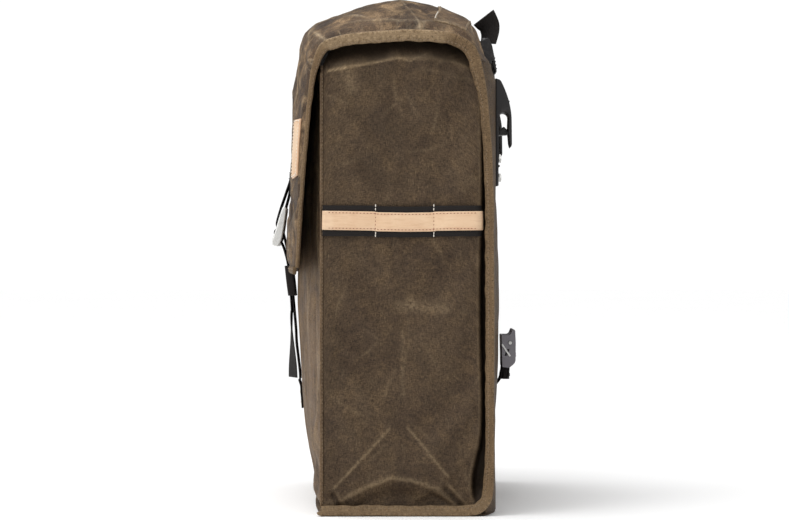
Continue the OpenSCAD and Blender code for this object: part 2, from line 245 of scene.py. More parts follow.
def lid_surface(x, t, out=0.0):
    """Points of the lid at x and station t, moved outward by out."""
    x, t = matched(x, t)

    def profile(at):
        share = crown_share(x)[..., None]
        return curve(SIDE, at) * (1 - share) + curve(CROWN, at) * share

    e = 0.02
    d = unit(profile(np.minimum(t + e, REAR_END)) - profile(np.maximum(t - e, 0)))
    p = profile(t)
    return np.stack([x, p[..., 0] - d[..., 1] * out, p[..., 1] + d[..., 0] * out], axis=-1)


def front_surface(x, z):
    """Points of the front panel's outer face."""
    x, z = matched(x, z)
    low = 7 + 18 * np.sqrt(np.maximum(z, 0) / 170)
    depth = np.where(z < 170, low, 25 - 12 * ((z - 170) / 196) ** 2)
    return np.stack([x, FRONT_SEAM - depth * (1 - (x / PANEL_X) ** 2), z], axis=-1)


def back_edge(z):
    """Y of the side panels' back edge at height z."""
    y, at = np.array(BACK_EDGE, float).T
    return np.interp(z, at, y)


def back_surface(x, z):
    """Points of the back panel's outer face."""
    x, z = matched(x, z)
    u = np.abs(x) / PANEL_X
    share = np.where(u < 0.7, 1, 1 - (np.maximum(u - 0.7, 0) / 0.3) ** 2)
    s = np.clip((z - 40) / 260, 0, 1)
    belly = 7.5 * np.sin(np.pi * s) ** 0.6 * np.maximum(0, 1 - (x / 58) ** 2)
    edge = back_edge(z)
    return np.stack([x, edge + (BACK_Y - edge) * share + belly, z], axis=-1)


# ---------- Pieces ----------


def piece(name, points, faces, material, body="root", slot=None, replaces=(), cloth=None, wear_and_shade=None,
          sharp=None):
    """A mesh in the scene that rides on a body; given a pair of bodies, it is left in place with its
    transform baked in.
    """
    mesh = bpy.data.meshes.new(name)
    mesh.from_pydata((np.asarray(points, float).reshape(-1, 3) * MM).tolist(), [], faces)
    materials = material if isinstance(material, list) else [material]
    for m in materials:
        mesh.materials.append(m)
    for label, values, scale in (("cloth", cloth, MM), ("wear_and_shade", wear_and_shade, 1)):
        if values is not None:
            store = mesh.attributes.new(label, "FLOAT_VECTOR", "POINT")
            values = np.asarray(values, float) * scale
            store.data.foreach_set("vector", values.astype(np.float32).ravel())
    mesh.shade_smooth()
    if sharp:
        mesh.set_sharp_from_angle(angle=math.radians(sharp))
    obj = bpy.data.objects.new(name, mesh)
    bpy.context.collection.objects.link(obj)
    if isinstance(body, tuple):
        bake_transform(obj)
    else:
        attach(obj, body)
    if replaces:
        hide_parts(*replaces)
    return obj


def grid_faces(rows, cols, flip=False, wrap=False):
    """Quads of a grid of points, joined back to the first column with wrap."""
    i, j = np.meshgrid(np.arange(rows - 1), np.arange(cols if wrap else cols - 1), indexing="ij")
    k = (j + 1) % cols
    here, below = i * cols, (i + 1) * cols
    quads = np.stack([here + j, here + k, below + k, below + j], axis=-1).reshape(-1, 4)
    return (quads[:, ::-1] if flip else quads).tolist()


def tube_faces(rows, cols):
    """Faces of a tube of points, with both of its ends closed."""
    ends = [list(range(cols))[::-1], [(rows - 1) * cols + j for j in range(cols)]]
    return grid_faces(rows, cols, wrap=True) + ends


def cloth_space(grid, seed):
    """Where each point lies in the flat cloth, from lengths along the grid."""
    across = np.linalg.norm(np.diff(grid, axis=1), axis=-1).cumsum(axis=1).mean(axis=0)
    along = np.linalg.norm(np.diff(grid, axis=0), axis=-1).cumsum(axis=0).mean(axis=1)
    u, v = np.meshgrid(np.append(0, across), np.append(0, along))
    return np.stack([u + 700 * seed, v + 310 * seed, np.full_like(u, 55 * seed)], axis=-1)


def panel(name, grid, materials, seed, wear_and_shade, flip=False, thick=SKIN, held="stretched", **options):
    """A cloth panel from a grid of points, with its thickness on the inside. Its flat size is its measure
    along the cloth, since a sewn panel keeps the size it was cut to."""
    rows, cols = grid.shape[:2]
    obj = piece(name, grid, grid_faces(rows, cols, flip), materials, cloth=cloth_space(grid, seed),
                wear_and_shade=wear_and_shade, **options)
    solid = obj.modifiers.new("thickness", "SOLIDIFY")
    solid.thickness = thick * MM
    solid.offset = -1
    solid.material_offset = 1 if len(materials) > 1 else 0


def sweep(name, path, section, material, across=(1, 0, 0), wear_and_shade=None, seed=0, **options):
    """The skin of a closed section, (a, b) pairs across and out, carried along a path. The section may
    change from point to point. Out is to the left of the path, seen with across towards the eye."""
    path = np.asarray(path, float)
    along = unit(np.gradient(path, axis=0))
    side = np.broadcast_to(np.asarray(across, float), path.shape)
    side = unit(side - (side * along).sum(axis=1, keepdims=True) * along)
    out = np.cross(side, along)
    shape = np.broadcast_to(np.asarray(section, float), (len(path),) + np.shape(section)[-2:])
    points = path[:, None] + shape[..., :1] * side[:, None] + shape[..., 1:] * out[:, None]
    rows, cols = points.shape[:2]
    round_it = np.append(0, np.linalg.norm(np.diff(shape[0], axis=0), axis=-1).cumsum())
    u, v = np.meshgrid(round_it, lengths(path))
    cloth = np.stack([u + 90 * seed, v + 40 * seed, np.full_like(u, 20 * seed)], axis=-1)
    if wear_and_shade is None:
        wear_and_shade = np.zeros((rows, cols, 3))
    piece(name, points, tube_faces(rows, cols), material, cloth=cloth, wear_and_shade=wear_and_shade, **options)


def band_section(width, thick, ribs=0, rib=0.12, across=24, middle=0.0):
    """Section of a flat woven band with soft edges and ribs along its length."""
    a = np.linspace(-1, 1, across + 1)
    top = thick / 2 * (1 - np.abs(a) ** 8 * 0.65)
    if ribs:
        top = top + rib * np.cos(np.pi * ribs * (a + 1)) * (np.abs(a) < 0.9)
    upper = np.column_stack([a * width / 2, middle + top])
    lower = np.column_stack([a[::-1] * width / 2, middle - top[::-1]])
    return np.concatenate([upper, lower])[::-1]


def round_section(radius, count=20):
    """Closed round section."""
    a = np.linspace(0, 2 * np.pi, count, endpoint=False)
    return np.column_stack([radius * np.cos(a), radius * np.sin(a)])


def rod(name, y, z, half, radius, material, count, x=0.0, **options):
    """A round bar along X, centred at (x, y, z)."""
    path = [(x - half, y, z), (x, y, z), (x + half, y, z)]
    sweep(name, path, round_section(radius, count), material, across=(0, 0, 1), **options)


def soft_box(width, thick):
    """Closed section with full, rounded corners, its near edge at a = 0."""
    a = np.linspace(0, 2 * np.pi, 28, endpoint=False)
    c, s = np.cos(a), np.sin(a)
    k = 2 / 3.4
    near = 1 + np.sign(s) * np.abs(s) ** k
    return np.stack([thick / 2 * np.sign(c) * np.abs(c) ** k, width / 2 * near], axis=-1)


def rounded(outline, radius, steps=5):
    """An outline with each corner turned into a short curve. A corner may carry its own radius third."""
    points = []
    count = len(outline)
    for i, corner in enumerate(outline):
        p = np.array(corner[:2], float)
        r = corner[2] if len(corner) > 2 else radius
        before = np.array(outline[i - 1][:2], float) - p
        after = np.array(outline[(i + 1) % count][:2], float) - p
        reach = min(r, 0.49 * np.linalg.norm(before), 0.49 * np.linalg.norm(after))
        a, b = p + unit(before) * reach, p + unit(after) * reach
        for s in np.linspace(0, 1, steps + 1):
            points.append((1 - s) ** 2 * a + 2 * s * (1 - s) * p + s * s * b)
    return points


def plate(name, loops, x0, x1, material, bevel=0.5, tilt=None, flat=False, **options):
    """A flat part: (y, z) loops, the first round the outside and the rest round holes, filled and carried
    along X from x0 to x1, with rounded edges. A flat one is turned first, so that its loops are (x, z)
    and it is carried along Y. tilt is the (y, z, degrees) that put a local shape in its place."""
    data = bpy.data.curves.new(name, "CURVE")
    data.dimensions = "2D"
    data.fill_mode = "BOTH"
    data.extrude = (x1 - x0) / 2 - bevel
    data.bevel_depth = bevel
    data.bevel_resolution = 2
    for loop in loops:
        spline = data.splines.new("POLY")
        spline.points.add(len(loop) - 1)
        corners = np.column_stack([loop, np.zeros(len(loop)), np.ones(len(loop))])
        spline.points.foreach_set("co", corners.ravel())
        spline.use_cyclic_u = True
    data.offset = -bevel
    carrier = bpy.data.objects.new(name + "_outline", data)
    bpy.context.collection.objects.link(carrier)
    bpy.context.view_layer.update()
    shape = bpy.data.meshes.new_from_object(carrier.evaluated_get(bpy.context.evaluated_depsgraph_get()))
    points = np.array([v.co for v in shape.vertices])
    faces = [list(f.vertices) for f in shape.polygons]
    bpy.data.objects.remove(carrier)
    bpy.data.meshes.remove(shape)
    carried = (x0 + x1) / 2 + points[:, 2]
    order = (points[:, 0], carried) if flat else (carried, points[:, 0])
    points = np.column_stack([*order, points[:, 1]])
    if tilt:
        points = tilted(points, *tilt)
    piece(name, points, faces, material, sharp=40, **options)


def tilted(points, y, z, degrees):
    """Local (x, y, z) points turned about X and put at (y, z)."""
    points = np.asarray(points, float)
    c, s = math.cos(math.radians(degrees)), math.sin(math.radians(degrees))
    return np.stack([points[..., 0], y + points[..., 1] * c - points[..., 2] * s,
                     z + points[..., 1] * s + points[..., 2] * c], axis=-1)


# Rings of one stitch: place along its length, and share of its radius
STITCH_RINGS = [(-0.5, 0.25), (-0.32, 0.9), (0, 1.1), (0.32, 0.9), (0.5, 0.25)]
STITCH_SIDES = 6


def stitches(name, path, out, material, slot, pitch=3.0, length=2.0, radius=0.32, body="root", lean=0.0):
    """A row of raised stitches along a path, each a small bead of thread lying on the cloth."""
    path = np.asarray(path, float)
    s = lengths(path)
    total = s[-1]
    count = max(2, int(total / pitch))
    at = (np.arange(count) + 0.5) * total / count
    centre = at_lengths(path, at)
    along = unit(at_lengths(path, np.minimum(at + 0.3, total)) - at_lengths(path, np.maximum(at - 0.3, 0)))
    out = np.asarray(out, float)
    if out.ndim == 2:
        out = np.column_stack([np.interp(at, s, column) for column in out.T])
    out = unit(out - (out * along).sum(axis=1, keepdims=True) * along)
    along = unit(along + lean * np.cross(along, out))
    side = np.cross(along, out)
    points = []
    for place, swell in STITCH_RINGS:
        for k in range(STITCH_SIDES):
            a = 2 * math.pi * k / STITCH_SIDES
            reach = math.cos(a) * side + math.sin(a) * out
            points.append(centre + along * place * length + radius * swell * reach)
    one = tube_faces(len(STITCH_RINGS), STITCH_SIDES)
    faces = [[v + i * len(points) for v in f] for i in range(count) for f in one]
    piece(name, np.stack(points, axis=1), faces, material, body=body, slot=slot)


# ---------- Materials ----------


# A wave texture's scale times its pitch, at one band for each pitch
WAVE_TURN = 0.314


class Paint:
    """A material with a Principled shader, and short ways to add nodes to it."""

    def __init__(self, name, roughness, **sockets):
        self.material = bpy.data.materials.new(name)
        self.material.use_nodes = True
        self.nodes = self.material.node_tree.nodes
        self.shader = self.nodes["Principled BSDF"]
        self.set(self.shader, "Roughness", roughness)
        for socket, value in sockets.items():
            self.set(self.shader, socket.replace("_", " "), value)

    def set(self, node, socket, value):
        target = node.inputs[socket]
        if isinstance(value, bpy.types.NodeSocket):
            self.material.node_tree.links.new(value, target)
        elif isinstance(value, tuple) and len(value) == 3 and target.type == "RGBA":
            target.default_value = (*value, 1)
        else:
            target.default_value = value

    def add(self, kind, sockets, output=0, **settings):
        node = self.nodes.new("ShaderNode" + kind)
        for key, value in settings.items():
            setattr(node, key, value)
        for socket, value in sockets.items():
            self.set(node, socket, value)
        return node.outputs[output]

    def cloth(self):
        """Where a point lies in the flat cloth, in metres."""
        return self.add("Attribute", {}, output=1, attribute_name="cloth")

    def wear_and_shade(self):
        """Outputs for a cloth's bends, its rubbed lines with some painted light, and its stains mixed with
        painted shade.
        """
        at = self.add("Attribute", {}, output=1, attribute_name="wear_and_shade")
        split = self.nodes.new("ShaderNodeSeparateXYZ")
        self.set(split, 0, at)
        return split.outputs

    def place(self):
        """Where a point lies on the object, in metres."""
        return self.add("TexCoord", {}, output=3)

    def mapped(self, at, **sockets):
        return self.add("Mapping", {"Vector": at, **sockets})

    def noise(self, at, scale, detail=3.0, roughness=0.55, distortion=0.0):
        sockets = {"Scale": scale, "Detail": detail, "Roughness": roughness, "Distortion": distortion}
        return self.add("TexNoise", {"Vector": at, **sockets}, noise_type="FBM")

    def wave(self, at, scale, direction, distortion):
        sockets = {"Vector": at, "Scale": scale, "Distortion": distortion}
        return self.add("TexWave", sockets, output=1, bands_direction=direction)

    def weave(self, at, pitch_x, pitch_y, loose_x, loose_y):
        """Crossed yarns at two pitches in mm, each with its own share of irregularity."""
        across = self.wave(at, WAVE_TURN / (pitch_x * MM), "X", loose_x)
        return self.times(across, self.wave(at, WAVE_TURN / (pitch_y * MM), "Y", loose_y))

    def times(self, a, b):
        return self.add("Math", {0: a, 1: b, 2: 0.0}, operation="MULTIPLY")

    def plus(self, a, b):
        return self.add("Math", {0: a, 1: b, 2: 0.0}, operation="ADD")

    def span(self, value, low, high, out_low=0.0, out_high=1.0):
        """value carried from low..high to out_low..out_high, and held at its ends."""
        return self.add("MapRange", {0: value, 1: low, 2: high, 3: out_low, 4: out_high})

    def mix(self, share, a, b, blend="MIX"):
        return self.add("Mix", {0: share, 6: a, 7: b}, output=2, data_type="RGBA", blend_type=blend)

    def bump(self, height, strength, distance, below=None):
        """Relief of a height, distance mm deep, on top of the relief below."""
        sockets = {"Height": height, "Strength": strength, "Distance": distance * MM}
        if below is not None:
            sockets["Normal"] = below
        return self.add("Bump", sockets)

    def finish(self, colour, normal=None, roughness=None):
        self.set(self.shader, "Base Color", colour)
        if normal is not None:
            self.set(self.shader, "Normal", normal)
        if roughness is not None:
            self.set(self.shader, "Roughness", roughness)
        return self.material


def linear(*colours):
    """Colours given as 0 to 255 screen values, in the shader's linear values."""
    return [tuple(((v / 255 + 0.055) / 1.055) ** 2.4 if v > 10 else v / 255 / 12.92 for v in colour)
            for colour in colours]


def waxed_canvas(name, dark, middle, light, rub, mottle, thread=0.62):
    """Waxed cotton: clouds of tone, slubby crossed threads, fine scratches, pale wax on its creases with a
    painted highlight on their ridges and painted shade in their valleys, and stains mixed with painted shade.
    """
    dark, middle, light, rub = linear(dark, middle, light, rub)
    p = Paint(name, 0.68, Specular_IOR_Level=0.16)
    at = p.cloth()
    fold, worn_and_lit, stain_and_shade = p.wear_and_shade()
    cloud = p.noise(at, 20, 4, 0.6, 0.25)
    patch = p.noise(at, 68, 5, 0.64, 0.3)
    colour = p.mix(p.span(cloud, 0.38, 0.62), dark, middle)
    colour = p.mix(p.times(p.span(patch, 0.48, 0.70), 0.62 * mottle), colour, light)
    warp = p.noise(p.mapped(at, Scale=(1, 0.30, 1)), 1250, 3, 0.8)
    weft = p.noise(p.mapped(at, Scale=(0.30, 1, 1)), 1250, 3, 0.8)
    slub = p.plus(warp, weft)
    tone = p.mix(p.span(slub, 0.80, 1.22), (0.48, 0.47, 0.46), (1.66, 1.62, 1.54))
    colour = p.mix(1.0, colour, tone, "MULTIPLY")
    for number, turn in enumerate((0.45, 1.35, 2.5)):
        spot = p.mapped(at, Rotation=(0, 0, turn), Scale=(1, 0.16, 1), Location=(number, 0, 0))
        near = p.span(p.noise(p.mapped(at, Location=(0, number, 0)), 30, 3), 0.5, 0.68)
        scratch = p.times(p.span(p.noise(spot, 800, 3, 0.6), 0.60, 0.72), near)
        colour = p.mix(p.times(scratch, 0.34 * mottle), colour, rub)
    # Ridges go pale: pale wax with a painted highlight. Valleys darken: painted shade in the creases
    colour = p.mix(p.times(p.span(fold, 0.05, 0.9), 0.30), colour, rub)
    colour = p.mix(p.times(p.span(fold, -0.05, -0.9), 0.45), colour, tuple(c * 0.45 for c in dark))
    # Pale rubbed lines; on the lid binding's top stretch this channel also carries painted light
    colour = p.mix(p.times(worn_and_lit, p.span(p.noise(at, 420, 4, 0.7), 0.34, 0.60)), colour, rub)
    # Stains, and painted shade in recesses, gaps, crease valleys and under the lid and flap
    colour = p.mix(stain_and_shade, colour, tuple(c * 0.35 for c in dark))
    normal = p.bump(p.weave(at, thread, thread, 0.6, 0.6), 0.45, 0.16)
    normal = p.bump(slub, 0.45, 0.22, normal)
    normal = p.bump(p.noise(at, 150, 4, 0.6), 0.30, 0.5, normal)
    return p.finish(colour, normal, p.span(patch, 0.35, 0.7, 0.54, 0.76))


def woven(name, base, light, roughness):
    """Webbing: fine diagonal yarns across its ribs, greyed where it catches the light."""
    base, light = linear(base, light)
    p = Paint(name, roughness, Specular_IOR_Level=0.15)
    at = p.cloth()
    yarn = p.weave(at, 1.1, 0.9, 0.5, 0.8)
    fuzz = p.noise(at, 900, 3, 0.7)
    colour = p.mix(p.times(p.span(yarn, 0.1, 0.9), p.span(fuzz, 0.3, 0.8)), base, light)
    return p.finish(colour, p.bump(p.noise(at, 300, 2), 0.25, 0.2, p.bump(yarn, 0.8, 0.3)))


def hide(name, pale, warm, edge):
    """Natural leather: pores, faint diagonal grain lines and warmer blotches."""
    pale, warm, edge = linear(pale, warm, edge)
    p = Paint(name, 0.48, Coat_Weight=0.05, Coat_Roughness=0.35)
    at = p.cloth()
    blotch = p.noise(at, 40, 4, 0.6, 0.5)
    colour = p.mix(p.span(blotch, 0.35, 0.7), pale, warm)
    grain = p.noise(p.mapped(at, Rotation=(0, 0, 0.75), Scale=(1, 0.12, 1)), 620, 4, 0.65)
    colour = p.mix(p.times(p.span(grain, 0.5, 0.75), 0.35), colour, edge)
    colour = p.mix(p.wear_and_shade()[2], colour, edge)
    pores = p.add("TexVoronoi", {"Vector": at, "Scale": 1500.0})
    normal = p.bump(grain, 0.3, 0.15, p.bump(pores, 0.25, 0.1))
    return p.finish(colour, normal, p.span(blotch, 0.3, 0.7, 0.4, 0.56))


def thread(name, colour, other):
    """Sewing thread, with its two plies twisted."""
    colour, other = linear(colour, other)
    p = Paint(name, 0.55)
    twist = p.noise(p.place(), 1500, 2)
    return p.finish(p.mix(twist, colour, other), p.bump(twist, 0.4, 0.1))


def moulded(name, base, scuffed, roughness=0.46, grain=2200.0):
    """Moulded nylon: a fine spark-eroded grain, and faint rub marks."""
    base, scuffed = linear(base, scuffed)
    p = Paint(name, roughness)
    at = p.place()
    marks = p.noise(at, 90, 6, 0.72, 0.6)
    colour = p.mix(p.span(marks, 0.55, 0.8), base, scuffed)
    normal = p.bump(p.noise(at, grain, 2, 0.6), 0.35, 0.12)
    return p.finish(colour, normal, p.span(marks, 0.3, 0.7, roughness - 0.06, roughness + 0.12))


def metal(name, base, dark, roughness, metallic=1.0):
    """Satin metal: brushed along one way, with small handling marks."""
    base, dark = linear(base, dark)
    p = Paint(name, roughness, Metallic=metallic)
    at = p.place()
    brushed = p.noise(p.mapped(at, Scale=(1, 30, 30)), 60, 4, 0.7)
    marks = p.noise(at, 160, 6, 0.75, 0.9)
    colour = p.mix(p.span(marks, 0.56, 0.85), base, dark)
    normal = p.bump(brushed, 0.25, 0.06)
    return p.finish(colour, normal, p.span(brushed, 0.3, 0.75, roughness - 0.08, roughness + 0.12))


# One canvas in three copies: the front and lid copies are lighter than the side's, as painted light from the
# front and top
SIDE_CANVAS = waxed_canvas("canvas_side", (67, 54, 42), (79, 65, 50), (98, 81, 61), (176, 152, 118), 0.8)
FRONT_CANVAS_LIT = waxed_canvas("canvas_front", (82, 66, 51), (106, 87, 68), (128, 108, 85), (176, 154, 124), 0.9)
LID_CANVAS_LIT = waxed_canvas("canvas_lid", (54, 41, 31), (90, 72, 55), (152, 128, 99), (210, 189, 156), 1.2)
TAPE = waxed_canvas("binding_canvas", (98, 80, 59), (112, 92, 69), (128, 106, 80), (190, 166, 132), 0.5,
                    thread=0.8)
LINING = waxed_canvas("lining_canvas", (44, 37, 31), (56, 48, 40), (70, 60, 50), (104, 90, 74), 0.3)
WEBBING = woven("webbing_black", (33, 30, 29), (62, 58, 56), 0.72)
ELASTIC = woven("elastic_black", (36, 32, 31), (60, 55, 52), 0.74)
LEATHER = hide("leather_natural", (228, 197, 163), (216, 178, 142), (176, 124, 88))
THREAD_BROWN = thread("thread_brown", (120, 100, 78), (150, 130, 104))
THREAD_TAN = thread("thread_tan", (118, 99, 76), (136, 115, 90))
THREAD_RED = thread("thread_oxblood", (122, 58, 44), (150, 80, 60))
THREAD_WHITE = thread("thread_white", (226, 218, 204), (240, 234, 224))
THREAD_BLACK = thread("thread_black", (30, 28, 28), (60, 57, 56))
NYLON = moulded("nylon_black", (32, 30, 31), (74, 70, 70))
NYLON_SHEET = moulded("sheet_plastic", (52, 51, 52), (80, 78, 78), 0.5, 900.0)
ALLOY = metal("alloy_satin", (230, 230, 227), (180, 180, 177), 0.36, metallic=0.45)
GREY_ALLOY = metal("alloy_grey", (122, 119, 123), (70, 68, 72), 0.38, metallic=0.85)
STEEL = metal("steel_plain", (190, 189, 186), (120, 118, 114), 0.3)


# ---------- Camera, floor and lights ----------

# Strength of the white surroundings as the camera sees them, and as light
SKY_SEEN = 1.05
SKY_LIGHT = 0.50
FLOOR_REACH = 14.0
# The camera looks along -X at the bag's side, level with its middle
CAMERA_PLACE = (2.0, 0, 0.208)
CAMERA_LENS = 104.2


def studio():
    """Camera at the photograph's place, a pale floor and soft studio light."""
    scene = bpy.context.scene
    scene.view_settings.view_transform = "Standard"
    camera = bpy.data.objects.new("camera", bpy.data.cameras.new("camera"))
    camera.location = CAMERA_PLACE
    camera.rotation_euler = (math.pi / 2, 0, math.pi / 2)
    camera.data.sensor_width = 36
    camera.data.lens = CAMERA_LENS
    bpy.context.collection.objects.link(camera)
    scene.camera = camera

    mesh = bpy.data.meshes.new("floor")
    corners = [(a * FLOOR_REACH, b * FLOOR_REACH, 0) for a, b in ((-1, -1), (1, -1), (1, 1), (-1, 1))]
    mesh.from_pydata(corners, [], [(0, 1, 2, 3)])
    floor = bpy.data.objects.new("floor", mesh)
    p = Paint("floor_pale", 0.9)
    tone = p.mix(p.noise(p.place(), 2.0), (0.95, 0.95, 0.95), (0.97, 0.97, 0.97))
    mesh.materials.append(p.finish(tone))
    bpy.context.collection.objects.link(floor)

    world = bpy.data.worlds.new("studio")
    scene.world = world
    world.use_nodes = True
    nodes = world.node_tree.nodes
    sky = nodes["Background"]
    sky.inputs["Color"].default_value = (1, 1, 1, 1)
    path = nodes.new("ShaderNodeLightPath")
    strength = nodes.new("ShaderNodeMapRange")
    strength.inputs["To Min"].default_value = SKY_LIGHT
    strength.inputs["To Max"].default_value = SKY_SEEN
    world.node_tree.links.new(path.outputs["Is Camera Ray"], strength.inputs["Value"])
    world.node_tree.links.new(strength.outputs["Result"], sky.inputs["Strength"])

    sun = bpy.data.objects.new("overhead", bpy.data.lights.new("overhead", "SUN"))
    sun.data.energy = 2.0
    sun.data.angle = math.radians(70)
    sun.rotation_euler = Vector((0.10, -0.42, 0.9)).to_track_quat("Z", "Y").to_euler()
    bpy.context.collection.objects.link(sun)

    def light(name, place, aim, size, watts):
        lamp = bpy.data.lights.new(name, "AREA")
        lamp.shape = "SQUARE"
        lamp.size = size
        lamp.energy = watts
        obj = bpy.data.objects.new(name, lamp)
        obj.location = place
        obj.rotation_euler = (Vector(aim) - Vector(place)).to_track_quat("-Z", "Y").to_euler()
        bpy.context.collection.objects.link(obj)

    light("key", (1.5, -1.7, 1.3), (0, 0, 0.25), 0.9, 9)
    light("top", (0.5, -0.2, 2.1), (0, 0, 0.3), 1.0, 8)
    light("rim", (-0.6, 1.9, 1.2), (0, 0, 0.2), 1.2, 2.5)


studio()


# ---------- Cloth settling ----------

# Pitch of the coarse copy that is simulated, and the frames it runs for
SETTLE_PITCH = 7.0
SETTLE_FRAMES = 18


def resampled(grid, at_rows, at_cols):
    """Smooth values of a grid at fractional rows and columns."""
    return curve(curve(grid, at_rows).swapaxes(0, 1), at_cols).swapaxes(0, 1)


def settled(name, grid, grow, cap):
    """How far each point of a panel moves when the cloth between its sewn edges, cut a little full, finds
    its own folds. A coarse copy is simulated, and its movement is spread smoothly over the fine grid."""
    rows, cols = grid.shape[:2]
    down = max(6, int(lengths(grid[:, cols // 2])[-1] / SETTLE_PITCH))
    over = max(6, int(lengths(grid[rows // 2])[-1] / SETTLE_PITCH))
    coarse = resampled(grid, np.linspace(0, rows - 1, down + 1), np.linspace(0, cols - 1, over + 1))
    mesh = bpy.data.meshes.new(name + "_settling")
    mesh.from_pydata((coarse.reshape(-1, 3) * MM).tolist(), [], grid_faces(down + 1, over + 1))
    obj = bpy.data.objects.new(name + "_settling", mesh)
    bpy.context.collection.objects.link(obj)
    index = np.arange((down + 1) * (over + 1)).reshape(down + 1, over + 1)
    sewn = np.setdiff1d(index, index[1:-1, 1:-1])
    obj.vertex_groups.new(name="sewn").add(sewn.tolist(), 1.0, "ADD")
    cloth = obj.modifiers.new("cloth", "CLOTH").settings
    cloth.quality = 6
    cloth.mass = 0.4
    cloth.tension_stiffness = cloth.compression_stiffness = 25
    cloth.shear_stiffness = 12
    cloth.bending_stiffness = 1.2
    cloth.vertex_group_mass = "sewn"
    cloth.shrink_min = -grow
    cloth.effector_weights.gravity = 0.3
    scene = bpy.context.scene
    for number in range(1, SETTLE_FRAMES + 1):
        scene.frame_set(number)
    result = obj.evaluated_get(bpy.context.evaluated_depsgraph_get()).to_mesh()
    shift = np.array([v.co for v in result.vertices]).reshape(coarse.shape) / MM - coarse
    far = np.linalg.norm(shift, axis=-1, keepdims=True)
    shift *= np.minimum(1, cap / np.maximum(far, 1e-6))
    bpy.data.objects.remove(obj)
    scene.frame_set(1)
    return resampled(shift, np.linspace(0, down, rows), np.linspace(0, over, cols))


# ---------- Side panels ----------

# Lines across the side panels, as (y, z): the upper hem, the folded gusset and the slack low fold
HEM = [(-60, 360.5), (-43, 363.5), (-16, 368.4), (3, 372.2), (13, 371.4), (30, 371), (48, 368), (75, 358)]
GUSSET = [(-49, 22.5), (-4.5, 70.3), (10.9, 71.9), (43.5, 32)]
LOW_FOLD = [(-45, 11), (-24, 22), (-2, 30.5), (14, 28), (24, 25), (42, 19)]
SIDE_TOP = [(-60, 362), (-54, 378), (-38, 387), (-10, 390), (20, 391), (44, 389), (60, 382), (72, 369)]

# Straight marks on the side panels, as (share, start, end, width): folds in mm, pale rubs, and dark lines of
# painted shade along crease valleys and under the lid
SIDE_FOLDS = [
    (0.5, GUSSET[0], GUSSET[1], 1.9), (0.5, GUSSET[2], GUSSET[3], 1.9),
    (-0.8, (-4, 226), (6.4, 176), 2.6), (-0.7, (6, 214), (9.8, 188), 2.2),
    (0.4, (2, 228), (9, 172), 2.6), (0.35, (7, 145), (6.5, 98), 2.4),
    (-2.6, (-50, 16), (-43, 4), 1.7), (1.04, (-46, 17.5), (-39, 5.5), 1.8),
    (-3.0, (42, 21), (54, 8), 1.7), (1.2, (46, 22.5), (58, 9.5), 1.8),
    (-1.6, (30, 17), (46, 9), 1.7), (0.64, (34, 18.5), (50, 10.5), 1.8),
    (0.8, (-50, 320), (-40, 362), 5), (-0.8, (0, 300), (-1, 366), 3.5),
]
SIDE_RUBS = [
    (0.34, GUSSET[0], GUSSET[1], 0.8), (0.36, GUSSET[2], GUSSET[3], 0.8),
    (0.16, (6.9, 150), (6.9, 98), 1.3), (0.20, (-40, 366), (-36, 350), 3.5),
    (0.18, (12.6, 177), (13.6, 172), 2.5), (0.22, (5, 171), (40, 168), 3.5),
    (0.12, (22, 364), (70, 352), 1.4),
]
# Painted shade: dark lines along crease valleys, the low wedge creases and under the lid's edge
SIDE_SHADE_LINES = [
    (0.25, (-6, 318), (4, 312), 8), (0.12, (-4, 226), (6.4, 176), 2.2), (0.3, (35, 372), (52, 358), 7),
    (0.55, (-50, 16), (-43, 4), 1.4), (0.55, (42, 21), (54, 8), 1.6),
]


